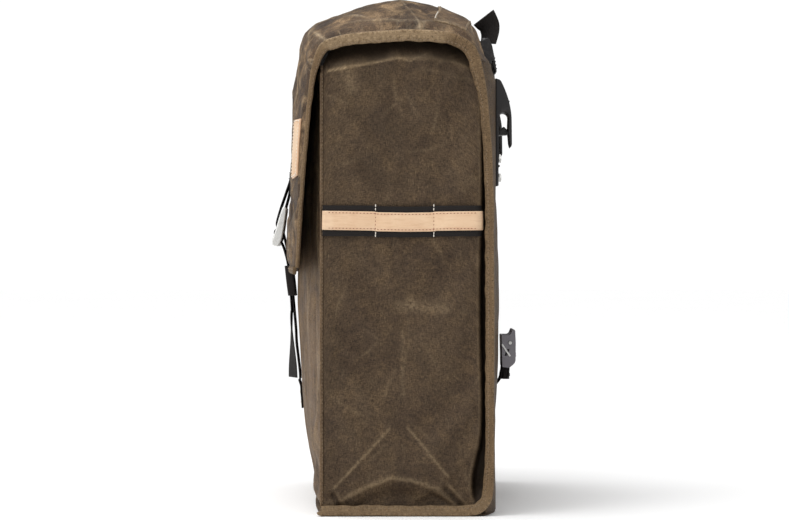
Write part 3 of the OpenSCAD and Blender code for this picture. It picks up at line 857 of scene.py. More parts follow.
def side_relief(y, z, points, seed):
    """Height of the side panel's folds, and the channels its material reads: rubbed lines, stains, and
    painted shade under the lid, in the back gap and in crease valleys.
    """
    above = z - np.interp(y, *np.array(HEM).T)
    under = np.interp(y, *np.array(GUSSET).T) - z
    low_z = np.interp(y, *np.array(LOW_FOLD).T)
    inside = ease(-54, -44, y) * ease(-52, -42, -y)
    # Y where the panel turns in, away from the binding
    gap = 70.5 - 8 * bell(z - 26, 30) + np.sin(z / 37)
    h = -14 * ease(0, 22, above) + 0.25 * bell(above, 1.6) * ease(-16, 0, -y)
    h -= 12 * ease(gap - 1.5, gap + 3.5, y) * ease(6, 26, z) * ease(-366, -350, -z)
    h -= 1.6 * ease(-57.2, -59.0, y) + 0.06 * np.clip(under, 0, 44) * inside
    h += (3.0 * bell(z - low_z, 7, 1.15) - 1.2 * bell(z - low_z + 12, 6)) * inside
    h += near_lines(y, z, SIDE_FOLDS)
    h += 0.9 * fractal(points, 80, seed) + 0.35 * fractal(points, 26, seed + 1)
    ridges, lines = creases(y, z, 55, 30, 3.2, seed)
    fine, fine_lines = creases(y, z, 160, 10, 1.3, seed + 50)
    crumple, crumple_lines = creases(y, z, 420, 20, 2.0, seed + 70)
    low = ease(-46, -30, -z) * ease(2, 8, z)
    h += 0.22 * ridges + 0.10 * fine + 0.55 * crumple * low
    h *= 0.1 + 0.9 * ease(1, 6, z)
    # The lash band lies on the panel and holds it flat
    band = np.abs(z - LASH_Z)
    h = np.where(band < 16, np.minimum(h, 0.4 * ease(12.6, 16, band)), h)
    hem_rub = bell(above, 0.7) * ease(-60, -50, y) * ease(-15, -1, -y)
    for share, start, end, width in ((0.7, (3, 372), (13, 370), 0.6), (0.5, (13, 370), (31, 378), 0.5)):
        hem_rub = np.maximum(hem_rub, share * near_line(y, z, start, end, width))
    rub = 0.95 * hem_rub * (0.45 + 0.55 * ease(-0.3, 0.3, fractal(points, 6, seed + 5)))
    rub += near_lines(y, z, SIDE_RUBS)
    rub += 0.30 * bell(z - low_z - 1, 2.2) * ease(-48, -36, y) * ease(-46, -24, -y)
    rub += 0.20 * lines + 0.14 * fine_lines + 0.16 * crumple_lines * low
    # Painted shade: darker above the hem in the recess under the lid, in the gap beside the back binding,
    # along the front edge under the flap, and on the table's crease lines; the fractal blotches are stains
    dim = 0.55 * ease(-1, 4, above) + 0.35 * ease(4, 13, above) + 0.85 * ease(-1.5, 2, y - gap)
    dim += near_lines(y, z, SIDE_SHADE_LINES)
    dim += 0.5 * ease(-57.6, -58.6, y) + 0.20 * ease(0.1, 0.6, fractal(points, 45, seed + 8))
    bend = curvature(h, 1.3) * ease(-57, -53, y) * (0.3 + 0.7 * ease(-8, -2, -np.abs(above)))
    return h, wear_and_shade_of(bend, rub, dim, 0.85)


def side_panel(label, side, seed):
    u, v = np.meshgrid(np.linspace(0, 1, 112), np.linspace(0, 1, 300))
    z = 2 + v * 370
    # The top edge's height depends on y and the back edge's y on z, so both are found by repeating
    for _ in range(4):
        y = SIDE_FRONT + u * (back_edge(z) - 1.5 - SIDE_FRONT)
        z = 2 + v * (np.interp(y, *np.array(SIDE_TOP).T) - 2)
    base = np.stack([np.full_like(y, PANEL_X), y, z], axis=-1)
    h, wear_and_shade = side_relief(y, z, base, seed)
    drift = settled("side_" + label, base, grow=0.010, cap=3.0)[..., 0]
    h += drift * ease(13, 30, np.abs(z - LASH_Z))
    grid = np.stack([side * (PANEL_X - 0.2 + h), y, z], axis=-1)
    panel("side_canvas_" + label, grid, [SIDE_CANVAS, LINING], seed, wear_and_shade, flip=side < 0,
          replaces=["side_panel_" + label])


side_panel("right", 1, 3)
side_panel("left", -1, 9)


# ---------- Front, back and bottom ----------


def front_panel():
    x, z = np.meshgrid(np.linspace(-PANEL_X, PANEL_X, 150), np.linspace(2, FRONT_TOP, 190))
    base = front_surface(x, z)
    edge = PANEL_X - np.abs(x)
    sewn = ease(0, 12, edge) * ease(0, 10, z - 2)
    ridges, lines = creases(x, z, 60, 70, 4.5, 23, lean=math.pi / 2)
    fine, fine_lines = creases(x, z, 220, 14, 1.8, 24)
    h = 1.5 * fractal(base * (1, 1, 0.45), 60, 21) + 0.6 * fractal(base * (1, 1, 0.5), 26, 22) - 0.9
    h += 1.3 * ridges + 0.22 * fine - 2.0 * bell(z - 30 - 0.12 * np.abs(x), 9)
    drift = -settled("front", base, grow=0.008, cap=3.0)[..., 1]
    h = (h + np.clip(drift, -1.5, 2.0)) * sewn * (1 - 0.85 * bell(x, 22, 4))
    h -= 4.0 * (1 - ease(0, 70, z)) * ease(0, 20, edge)
    streak = fractal(base * (1, 1, 0.16), 11, 25)
    rub = (0.60 * lines + 0.25 * fine_lines + 0.22 * ease(0.05, 0.6, -streak)) * sewn
    # Painted shade: darker towards the top, under the flap; the streaks are stains
    dim = 0.35 * ease(300, 366, z) + 0.34 * ease(0.05, 0.6, streak)
    panel("front_canvas", moved(base, 1, -h), [FRONT_CANVAS_LIT, LINING], 5,
          wear_and_shade_of(curvature(h, 2.2), rub, dim), replaces=["front_panel"])


def back_panel():
    x, z = np.meshgrid(np.linspace(-PANEL_X, PANEL_X, 116), np.linspace(2, BACK_TOP, 150))
    base = back_surface(x, z)
    edge = PANEL_X - np.abs(x)
    sewn = ease(0, 14, edge) * ease(0, 10, z - 2) * ease(0, 14, BACK_TOP - z)
    # Flat under the two rack hooks
    soft = 1 - 0.85 * ease(-30, -22, -np.abs(np.abs(x) - HOOK_X)) * ease(250, 262, z)
    ridges, lines = creases(x, z, 60, 50, 3.5, 32)
    h = (0.8 * fractal(base, 55, 31) - 0.5 + 0.25 * ridges) * sewn * soft
    h -= 3.6 * ease(356, 368, z) * ease(26, 60, np.abs(x)) * ease(0, 10, edge)
    panel("back_canvas", moved(base, 1, h), [SIDE_CANVAS, LINING], 7,
          wear_and_shade_of(curvature(h, 2.5), 0.25 * lines * sewn, 0), flip=True, replaces=["back_panel"])


def bottom_panel():
    x, v = np.meshgrid(np.linspace(-PANEL_X, PANEL_X, 90), np.linspace(0, 1, 50))
    front = front_surface(x, SKIN)[..., 1] + 0.6
    rear = back_surface(x, SKIN)[..., 1] - 0.6
    y = front + (rear - front) * v
    base = np.stack([x, y, 0 * x], axis=-1)
    flat = ease(0, 0.14, v) * ease(0, 0.14, 1 - v) * ease(0, 16, PANEL_X - np.abs(x))
    h = 0.15 + 1.6 * (1 - flat) + 0.25 * (1 + fractal(base, 40, 41)) * flat
    lines = creases(x, y, 50, 30, 3, 42)[1]
    rub = 0.35 * lines + 0.15 * ease(0.2, 0.6, fractal(base, 18, 43))
    panel("bottom_canvas", moved(base, 2, h), [SIDE_CANVAS, LINING], 11, wear_and_shade_of(0, rub, 0), thick=1.4,
          replaces=["bottom_panel"])


front_panel()
back_panel()
bottom_panel()


def pinched_seam(label, side):
    """The front panel and side are pinched together and topstitched along their upright edge."""
    z = np.linspace(3, 360, 150)
    sway = 0.35 * wander(z, 23, 0, side)
    path = np.column_stack([np.full_like(z, side * (PANEL_X - 1.6)), FRONT_SEAM + 1.4 + sway, z])
    outward = unit(np.array([side * 0.80, -0.60, 0]))
    section = round_section(1.0, 16) * (0.85, 2.3) + (0, 0.9)
    shape = section * (1 + 0.08 * wander(z, 11, 4, side))[:, None, None]
    wear_and_shade = np.zeros(shape.shape[:2] + (3,))
    wear_and_shade[..., 1] = 0.12 * np.clip(section[:, 1] / 3, 0, 1)
    sweep("front_seam_" + label, path, shape, FRONT_CANVAS_LIT, across=np.cross((0, 0, 1), outward), wear_and_shade=wear_and_shade,
          seed=2)
    row = path + outward * 1.6 + np.array([side * 0.45, 0.8, 0])
    stitches("front_seam_thread_" + label, row, (side, 0.2, 0), THREAD_BROWN, "canvas_front", radius=0.22)


for label, side in HANDS.items():
    pinched_seam(label, side)


# ---------- Lid ----------


def seam_folds(x, t, seed):
    """Soft folds that run in from the seam at each side, where the cloth was eased round the corner."""
    draw = np.random.default_rng(seed)
    edge = HALF_W - np.abs(x)
    h, line = np.zeros_like(x), np.zeros_like(x)
    for side in (1, -1):
        for _ in range(22):
            start = draw.uniform(2.6, 8.4)
            slope = draw.normal(0, 0.012)
            reach = draw.uniform(14, 55)
            width = draw.uniform(0.05, 0.14)
            away = np.abs(t - start - slope * edge) / width
            share = draw.uniform(0.3, 1.1) * np.exp(-away) * np.clip(1 - edge / reach, 0, 1) * (side * x > 0)
            h += share * draw.choice((-1, 1))
            line = np.maximum(line, share * bell(away, 0.35))
    return h, line


def yoke_ends(x):
    """Stations of the yoke's front and rear edges, which sweep forward and back towards the sides."""
    out = np.abs(x) / YOKE_REACH
    return 7.63 - 0.17 * ease(0.66, 1, out), 8.95 - 0.29 * out**1.6


def yoke_share(x, t, soft):
    """1 under the yoke sewn across the rear of the lid, fading to 0 over soft stations outside it."""
    front, rear = yoke_ends(x)
    return ease(-soft, 0, t - front) * ease(-soft, 0, rear - t) * ease(-145, -134, -np.abs(x))


# Folds that run in from the lid's sides: station, height in mm, and width in stations
CORNER_DARTS = [(2.75, -3.0, 0.09), (3.05, 1.6, 0.16), (4.05, -1.6, 0.08)]


def lid_relief(x, t, base):
    """Height and pale lines of the lid's folds: eased seams, soft dents, darts at the front corners."""
    edge = HALF_W - np.abs(x)
    u, v = np.moveaxis(cloth_space(base, 0)[..., :2], -1, 0)
    eased, eased_lines = seam_folds(x, t, 50)
    h = 1.5 * eased * ease(0, 7, edge) + 2.2 * fractal(base, 75, 52) * ease(0, 26, edge)
    h += 0.6 * fractal(base, 24, 53) * ease(0, 12, edge)
    ridges, lines = creases(u, v, 120, 70, 6.0, 54)
    fine, fine_lines = creases(u, v, 420, 16, 1.8, 55)
    h += (1.35 * ridges + 0.26 * fine) * ease(0, 10, edge)
    for station, tall, wide in CORNER_DARTS:
        h += tall * bell(t - station - 0.010 * edge, wide) * bell(edge, 30, 1) * ease(0, 6, edge)
    # A ridge in front of the yoke, where the webbing pulls the rear of the lid down
    rear_fold = t - 7.08 + 0.0075 * edge
    h += 1.3 * bell(rear_fold, 0.07, 1) * bell(edge, 60, 1) * ease(0, 6, edge)
    strap_place = bell(x, 24, 4) * ease(-1.9, -1.0, -t) + yoke_share(x, t, 0.25)
    patch_place = np.where((x > 99) & (x < 142), ease(0.8, 1.0, t) * ease(-1.9, -1.7, -t), 0)
    calm = (1 - 0.92 * np.clip(strap_place, 0, 1)) * (1 - 0.85 * patch_place)
    rub = 0.75 * lines + 0.30 * fine_lines + 0.6 * eased_lines
    rub += 0.5 * bell(rear_fold, 0.03) * bell(edge, 60, 1)
    return h * calm * ease(0, 0.3, t) * ease(0, 0.5, REAR_END - t), rub


def lid_canvas():
    """The lid's one piece of canvas. Returns the height of its settled folds over the plain lid."""
    x, t = np.meshgrid(np.linspace(-LID_X, LID_X, 150), np.linspace(FLAP_END, REAR_END, 300))
    base = lid_surface(x, t)
    out = lid_surface(x, t, 1.0) - base
    h, rub = lid_relief(x, t, base)
    drift = np.clip((settled("lid", base, grow=0.012, cap=4.0) * out).sum(axis=-1), -0.8, 2.2)
    edge = LID_X - np.abs(x)
    # What is sewn on holds the cloth: the loop, the yoke and the patch
    held = bell(x, 22, 4) * ease(-2, -1, -t) + yoke_share(x, t, 0.5)
    held = np.clip(held + bell(x - PATCH_X, 24, 6) * ease(0.8, 1.0, t) * ease(-1.95, -1.7, -t), 0, 1)
    h += drift * (1 - 0.85 * held) * ease(0, 16, edge)
    # The webbing pulls the rear down in the middle
    h -= 2.4 * ease(7.0, 7.7, t) * ease(-10, -9.3, -t) * ease(-70, -20, -np.abs(x))
    h -= 1.6 * ease(8.8, 9.2, t) * ease(-10, -9.7, -t) * ease(-40, -22, -np.abs(x))
    h = np.clip(h, -6, 4.0)
    tucked = lid_surface(np.full_like(x, HALF_W), t, -1.6)
    tucked[..., 0] = x
    free = ease(-2, 9, edge)[..., None]
    grid = (base + out * h[..., None]) * free + tucked * (1 - free)
    front = ease(-2.9, -1.8, -t)
    rub *= (0.35 + 0.65 * ease(-0.3, 0.35, fractal(base, 34, 58))) * (1 - 0.55 * front)
    # Painted shade in the corner dart's valley; the fractal blotches below are stains
    dim = 0.55 * bell(t - 2.75 - 0.010 * edge, 0.05) * bell(edge, 26, 1)
    dim += 0.3 * ease(0.0, 0.5, fractal(base, 42, 59)) * ease(2.5, 4, t)
    panel("lid_canvas", grid, [LID_CANVAS_LIT, LINING], 13, wear_and_shade_of(curvature(h, 2.2), rub, dim), body=LID,
          replaces=["lid_flap", "rear_top_panel"])
    return h


LID_HEIGHT = lid_canvas()


def on_lid(x, t, out):
    """Points at x and station t, out from the settled canvas of the lid."""
    x, t = matched(x, t)
    rows, cols = LID_HEIGHT.shape
    row = (t - FLAP_END) / (REAR_END - FLAP_END) * (rows - 1)
    col = (x / LID_X + 1) / 2 * (cols - 1)
    i = np.clip(row.astype(int), 0, rows - 2)
    j = np.clip(col.astype(int), 0, cols - 2)
    f, g = np.clip(row - i, 0, 1), np.clip(col - j, 0, 1)
    near = LID_HEIGHT[i, j] * (1 - g) + LID_HEIGHT[i, j + 1] * g
    far = LID_HEIGHT[i + 1, j] * (1 - g) + LID_HEIGHT[i + 1, j + 1] * g
    rise = near * (1 - f) + far * f
    base = lid_surface(x, t)
    return base + (lid_surface(x, t, 1.0) - base) * (rise + out)[..., None]


# ---------- Binding tape ----------


def tape(name, outline, widths, side, body, replaces, seed, pale, thick, middle, stitch_in):
    """Binding folded over a seam: a full band along a (y, z) outline, inward from it, with its stitching."""
    s = lengths(outline)
    broad, fine, sway = (wander(s, size, seed + k, side * 2) for k, size in ((0, 31), (5, 9), (9, 47)))
    d = unit(np.gradient(outline, axis=0))
    inward = np.column_stack([-d[:, 1], d[:, 0]])
    path = outline + inward * (0.45 * broad + 0.15 * fine)[:, None]
    line = moved(in_plane(path, side * middle), 0, side * 0.35 * sway)
    shape = np.array([soft_box(width * (1 + 0.09 * b), thick * (1 + 0.05 * a))
                      for width, a, b in zip(widths, broad, fine)])
    rim = np.clip(1 - shape[..., 1] / 2.2, 0, 1)
    ripple = 0.5 + 0.5 * wander(s, 6, seed, 3)
    wear_and_shade = np.zeros(shape.shape[:2] + (3,))
    wear_and_shade[..., 1] = 0.22 * rim * ripple[:, None] + pale[:, None]
    # Painted shade: the tape darkens towards its inner edge, where it meets the panel
    wear_and_shade[..., 2] = 0.22 * ease(0.45, 1.0, shape[..., 1] / widths[:, None])
    sweep(name, line, shape, TAPE, wear_and_shade=wear_and_shade, seed=seed, body=body, replaces=replaces)
    for label, face in (("outer", 1), ("inner", -1)):
        x = side * middle + face * side * (thick / 2 - 0.12)
        row = in_plane(path + inward * (widths - stitch_in)[:, None], x)
        stitches(f"{name}_thread_{label}", row, (face * side, 0, 0), THREAD_TAN, "binding", pitch=3.2,
                 length=2.1, radius=0.24, body=body)


def body_binding(label, side):
    rear = [SIDE[i] for i in range(REAR_END, 7, -1)]
    toe = [(-63.2, 2.9), (-62.5, 1.5), (-61.3, 0.7)]
    outline = np.vstack([toe, smooth(FOOT + rear, 2.0)])
    y, z = outline.T
    width = 8.3 + 0.7 * ease(50, 66, y) - 1.7 * ease(18, 60, z) + 3.0 * ease(330, 372, z)
    width *= 0.5 + 0.5 * np.sqrt(np.clip(lengths(outline) / 4, 0, 1))
    tape("binding_tape_" + label, outline, width, side, "root", ["binding_" + label], 61,
         pale=0.2 * ease(-24, -8, -z), thick=5.2, middle=147.4, stitch_in=2.4)


def lid_binding(label, side):
    fine = np.linspace(8.3, FLAP_END, 400)
    way = lengths(curve(SIDE, fine))
    t = np.interp(np.linspace(0, way[-1], 230), way, fine)
    widths = np.interp(t, [0, 1.1, 2.0, 2.7, 3.3, 4.3, 8.3], [2.9, 3.1, 4.2, 5.2, 6.4, 9.4, 9.8])
    # The lid tape's top stretch is paled: painted light falling from above
    tape("lid_tape_" + label, curve(SIDE, t), widths, side, LID, ["lid_binding_" + label], 71,
         pale=0.45 * ease(3.2, 4.6, t) * ease(-8.3, -7.4, -t), thick=5.3, middle=147.5, stitch_in=1.3)


for label, side in HANDS.items():
    body_binding(label, side)
    lid_binding(label, side)


def flap_hem():
    """The tape folded over the flap's lower end."""
    x = np.linspace(-HALF_W, HALF_W, 130)
    low = lid_surface(x, 0.0)
    up = lid_surface(x, FLAP_END + 0.01) - low
    width = np.linalg.norm(up, axis=1)
    low = moved(low, 2, 0.3 * wander(x, 17, 81, 0))
    section = np.array([soft_box(w, 3.0)[::-1, ::-1] for w in width])
    wear_and_shade = np.zeros(section.shape[:2] + (3,))
    # Painted shade: the whole hem is darkened, as it lies in the flap's shadow
    wear_and_shade[..., 2] = 0.35
    sweep("flap_hem_tape", low, section, TAPE, across=unit(up), wear_and_shade=wear_and_shade, seed=8, body="lid",
          replaces=["flap_hem"])
    row = low + unit(up) * (width - 2.0)[:, None] + np.array([0, -1.6, 0])
    stitches("flap_hem_thread", row, (0, -1, 0), THREAD_BROWN, "binding", pitch=3.2, length=2.1, body="lid")


flap_hem()


# ---------- Lash bands ----------

# Y of the four seams that hold a lash band, and how far it bows out between them
LASH_SEAMS = [FRONT_SEAM + SKIN - 0.4, -15.5, 31.8, 70.5]
LASH_SLACK = 1.4
WHITE_TACK = {"material": THREAD_WHITE, "slot": "webbing", "pitch": 2.3, "length": 2.3, "radius": 0.42}
RED_TACK = {"material": THREAD_RED, "slot": "leather", "pitch": 2.6, "length": 1.2, "radius": 0.28}


def lash_band(label, side):
    """Webbing and leather across the side, sewn down at four seams and bowed out a little between them."""
    route = []
    for k, (y0, y1) in enumerate(zip(LASH_SEAMS, LASH_SEAMS[1:])):
        f = np.linspace(0, 1, 22)[:-1 if k < 2 else None]
        route += [(PANEL_X + LASH_SLACK * math.sin(math.pi * v), y0 + (y1 - y0) * v) for v in f]
    x, y = np.array(route).T
    sag = np.interp(y, [-60, -16, -15, 10, 31, 33, 70], [0.4, 0.2, -0.3, -0.7, -0.4, 0.1, 0.2])
    path = np.column_stack([side * (x - 2.0 * ease(66.5, 70, y)), y, LASH_Z + sag])
    # across is down, so the section's out is along X for a path that runs towards +Y
    down = np.array([0, 0, -1.0])
    web = band_section(WEB_W, WEB_T, ribs=7, rib=0.10, across=42, middle=side * (WEB_T / 2 + 0.05))
    sweep("lash_web_" + label, path, web, WEBBING, across=down, seed=1, replaces=["lash_webbing_" + label])
    strip = band_section(LEATHER_W, LEATHER_T, across=20, middle=side * (WEB_T + 0.1 + LEATHER_T / 2))
    leather_path = moved(path, 2, 0.35 * np.interp(y, [-60, -16, 31, 70], [1, -0.5, -0.6, 0.6]))
    wear_and_shade = np.zeros((len(path), len(strip), 3))
    wear_and_shade[..., 2] = 0.22 * bell(np.abs(strip[:, 0]) - 6.3, 0.5)
    sweep(f"lash_leather_{label}_strip", leather_path, strip, LEATHER, across=down, wear_and_shade=wear_and_shade, seed=4,
          replaces=["lash_leather_" + label])
    face = side * (WEB_T + LEATHER_T + 0.12)
    for place, edge in (("low", -1), ("top", 1)):
        row = leather_path + np.array([face, 0, edge * (LEATHER_W / 2 - 1.5)])
        stitches(f"lash_thread_{label}_{place}", row[2:-2], (side, 0, 0), THREAD_RED, "leather", pitch=2.8,
                 length=1.25, radius=0.28)
    for tag, y in (("front", LASH_SEAMS[1]), ("rear", LASH_SEAMS[2])):
        for place, low, high, out, kind in (("low", -12.8, -8.4, WEB_T + 0.2, WHITE_TACK),
                                            ("top", 8.2, 14.2, WEB_T + 0.2, WHITE_TACK),
                                            ("middle", -7.4, 7.4, WEB_T + LEATHER_T + 0.14, RED_TACK)):
            x = side * (PANEL_X + out)
            row = [(x, y, LASH_Z + low), (x, y + 0.2, LASH_Z + high)]
            stitches(f"lash_tack_{label}_{tag}_{place}", row, (side, 0, 0), **kind)


for label, side in HANDS.items():
    lash_band(label, side)


# ---------- Leather patch ----------


def on_patch(u, v, across=1, along=1):
    """x and station of a place on the patch, -1 to 1 each way, or on a smaller ring in it. It is sewn on
    a little askew."""
    return PATCH_X + PATCH_HALF * across * u, PATCH_T + PATCH_RISE * along * v - 0.02 * u


def leather_patch():
    u, v = np.meshgrid(np.linspace(-1, 1, 26), np.linspace(-1, 1, 34))
    x, t = on_patch(u, v)
    out = np.maximum(np.abs(u), np.abs(v))
    grid = on_lid(x, t, 0.2 + LEATHER_T * (1 - 0.5 * out**14))
    panel("patch_leather", grid, [LEATHER], 6, wear_and_shade_of(0, 0, 0.35 * ease(0.9, 1, out)), thick=1.6,
          held=None, body="lid", replaces=["leather_patch"])
    corners = ((-1, -1), (1, -1), (1, 1), (-1, 1), (-1, -1))
    x, t = spaced([on_patch(a, b, 0.90, 0.94) for a, b in corners], 120).T
    out = lid_surface(x, t, 1) - lid_surface(x, t, 0)
    stitches("patch_thread", on_lid(x, t, LEATHER_T + 0.3), out, THREAD_WHITE, "leather", pitch=2.8,
             length=1.9, radius=0.3, body="lid")


leather_patch()


# ---------- Front closure ----------


def arc_round(centre, radius, start, stop, count=10):
    """(y, z) points on an arc, from one angle in degrees to another, measured from +Y towards +Z."""
    a = np.radians(np.linspace(start, stop, count))
    return [(centre[0] + radius * math.cos(v), centre[1] + radius * math.sin(v)) for v in a]


WEB = band_section(WEB_W, WEB_T, ribs=7, rib=0.10, across=42)


def strap(name, points, body, replaces=(), pitch=2.0, section=WEB):
    """Webbing along the smooth curve through some (y, z) points."""
    sweep(name, in_plane(smooth(points, pitch)), section, WEBBING, body=body, replaces=replaces)


def tack(name, y, z, out, material=THREAD_BLACK, pitch=1.2, length=1.6):
    """One row of close, slanted stitches across a strap."""
    stitches(name, [(-11, y, z), (11, y, z)], out, material, "webbing", pitch=pitch, length=length,
             radius=0.36, lean=1.0)


BAR = tilted((0, 0, CLASP_BAR), *CLASP)[1:]
EYE = tilted((0, 0, CLASP_EYE), *CLASP)[1:]


def flap_loop():
    """The flap's loop hangs from its stitching, round the bar near the hook's top and back up."""
    route = [(-90.0, 286), (-91.0, 278), (-94.6, 267), (-98.4, 256), (-101.2, 247),
             (EYE[0] - 3.5, EYE[1] + 2)]
    route += arc_round(EYE, 3.3, 190, 330, 7)
    route += [(-96.6, 246), (-94.6, 255), (-92.0, 265), (-91.0, 273), (-90.7, 283)]
    strap("loop_webbing", route, "lid", ["flap_loop"], pitch=1.6)
    for y, z in ((-92.0, 279), (-91.5, 284)):
        stitches(f"loop_thread_{z}", [(-10.5, y, z), (10.5, y, z)], (0, -1, 0.3), THREAD_BLACK, "webbing",
                 pitch=1.6, length=2.2, body="lid")


def closure():
    """The strap from its seam low on the front, up round the hook's bar, and down again to its loose tail."""
    route = [(-82.4, 104.5), (-82.8, 112), (-84.2, 124), (-85.6, 136), (-86.2, 148), (-87.2, 160),
             (-88.6, 176), (-90.9, 200), (-92.0, 210), (-94.2, 219), (BAR[0] + 3.6, BAR[1] + 0.4)]
    route += arc_round(BAR, 3.65, 20, 250, 9)
    route += [(-98.0, 221.5), (-95.4, 214), (-93.0, 203), (-90.6, 178), (-89.6, 162)]
    strap("closure_webbing", route, "closure", ["closure_strap"])
    tail = [(-89.9, 164), (-90.2, 158), (-90.0, 146), (-89.5, 134), (-89.1, 120), (-88.8, 105.4)]
    path = in_plane(smooth(tail, 2.0))
    turned = ease(0.05, 1, np.linspace(0, 1, len(path)))[:, None]
    across = unit((1 - turned) * np.array([1.0, 0, 0]) + turned * unit((0.94, 0.335, -0.08)))
    sweep("closure_tail", path, WEB, WEBBING, across=across, body="closure")


def keeper():
    """Elastic sleeve round both strands of the strap: ribbed outside, down its outside and up its inside."""
    outer = np.array(rounded([(-15, -3.4), (15, -3.4), (15, 3.4), (-15, 3.4)], 1.6))
    inner = np.array(rounded([(-13.6, -2.3), (13.6, -2.3), (13.6, 2.3), (-13.6, 2.3)], 1.0))
    low, high = np.array((-89.1, 177)), np.array((-92.2, 203))
    rings = np.linspace(0, 1, 25)
    loops = []
    for f in rings:
        bulge = 1 + 0.05 * math.sin(math.pi * f)
        ripple = 0.12 * math.cos(2 * math.pi * 9 * f)
        y, z = low + (high - low) * f
        loops.append([(a * bulge + math.copysign(ripple, a), y + b * bulge, z) for a, b in outer])
    for f in rings[::-1]:
        y, z = low + (high - low) * (0.015 + 0.97 * f)
        loops.append([(a, y + b, z) for a, b in inner])
    loops.append(loops[0])
    grid = np.array(loops)
    piece("keeper_sleeve", grid, grid_faces(*grid.shape[:2], wrap=True, flip=True), ELASTIC, body="keeper",
          replaces=["strap_keeper"], cloth=cloth_space(grid, 3), wear_and_shade=np.zeros_like(grid), sharp=60)


def closure_hook():
    """Alloy hook: deep side rails, a bar that carries the strap, and an open mouth for the flap's loop."""
    top = 34
    outline = rounded([(-12.4, 24, 1.5), (12.4, 24, 1.5), (12.4, top - 2, 4), (-12.4, top - 2, 4)], 2, 7)
    plate("hook_plate", [outline], -1.6, 1.0, ALLOY, bevel=0.8, tilt=CLASP, flat=True, body="clasp",
          replaces=["closure_hook"])
    rail = rounded([(-3.2, -1.2, 3.2), (3.4, -0.6, 3.2), (4.4, 6, 3), (4.0, 14, 4), (2.6, 28, 4),
                    (2.0, top, 2), (-1.8, top, 2), (-2.6, 24, 4), (-3.0, 12, 4), (-4.0, 4.5, 3)], 2, 6)
    for name, x in (("near", 12.7), ("far", -16.2)):
        plate("hook_rail_" + name, [rail], x, x + 3.5, ALLOY, bevel=1.1, tilt=CLASP, body="clasp")
    for name, (y, z), radius in (("bar", BAR, 2.4), ("eye", EYE, 2.3)):
        rod("hook_" + name, y, z, 13.4, radius, ALLOY, 24, body="clasp")


def front_anchor():
    z = np.linspace(79, 104, 24)
    path = moved(front_surface(0, z), 1, -0.9 - 1.2 * ease(98, 104, z))
    sweep("anchor_webbing", path, WEB, WEBBING, seed=5, replaces=["front_anchor"])
    for k, z0 in enumerate((83.5, 92.5)):
        for row in range(3):
            z = z0 + 0.9 * row
            tack(f"anchor_tack_{k}_{row}", front_surface(0, z)[1] - 1.75, z, (0, -1, 0.1), THREAD_WHITE,
                 pitch=1.1, length=1.5)


flap_loop()
closure()
keeper()
closure_hook()
front_anchor()


# ---------- Rear lid strap and ladder lock ----------


def over_webbing(x):
    """How far the yoke's cloth rises where it covers the end of the webbing."""
    return 0.9 * bell(x, 15, 6)


def yoke():
    """Canvas sewn across the rear of the lid, over the end of the webbing."""
    x, share = np.meshgrid(np.linspace(-YOKE_REACH, YOKE_REACH, 150), np.linspace(0, 1, 44))
    front, rear = yoke_ends(x)
    t = front + (rear - front) * share
    sides = np.maximum(np.abs(x) / YOKE_REACH, np.abs(2 * share - 1))
    lift = 1.6 - 0.7 * sides**24 + 0.25 * fractal(lid_surface(x, t), 14, 91)
    lift += over_webbing(x) * ease(0.35, 0.6, share)
    panel("yoke_canvas", on_lid(x, t, lift), [LID_CANVAS_LIT], 15,
          wear_and_shade_of(curvature(lift, 1.2), 0.28 * sides**20, 0), thick=1.3, body=LID, replaces=["strap_cover"])
    x = np.linspace(-131, 131, 200)
    front, rear = yoke_ends(x)
    for label, t, over in (("front", front + 0.07, 0), ("rear", rear - 0.07, over_webbing(x))):
        row = on_lid(x, t, 1.75 + over)
        stitches("yoke_thread_" + label, row, row - on_lid(x, t, 0), THREAD_BROWN, "canvas_lid", body=LID)
    for label, side in HANDS.items():
        x = np.linspace(107, 129, 20) * side
        front = yoke_ends(x)[0]
        row = on_lid(x, front + 0.03, 1.7)
        stitches("yoke_tack_" + label, row, row - on_lid(x, front, 0), THREAD_WHITE, "canvas_lid", pitch=1.0,
                 length=1.4, radius=0.26, lean=0.6, body=LID)


def lid_strap():
    """Webbing from under the yoke to the ladder lock, and its free tail, which twists as it stands up."""
    route = [(56, 412.2), (60.5, 410.2), (64.8, 407.4), (69.6, 402.2), (74.6, 397.2), (79.0, 395.6),
             (82.4, 397.0)]
    strap("lid_webbing", route, "root", ["lid_strap"], section=band_section(WEB_W, 2.9, 7, 0.12, 42))
    tail = [(82.0, 397.6), (83.2, 403), (83.6, 408), (82.6, 413.5), (77.9, 420.6)]
    path = in_plane(smooth(tail, 1.2))
    widths = [(0.855, 0.468, -0.228), (0.80, 0.58, 0.14), (0.72, 0.62, 0.32), (0.56, 0.576, 0.596)]
    across = unit(curve(widths, np.linspace(0, 3, len(path))))
    sweep("lid_strap_tail", path, WEB, WEBBING, across=across)


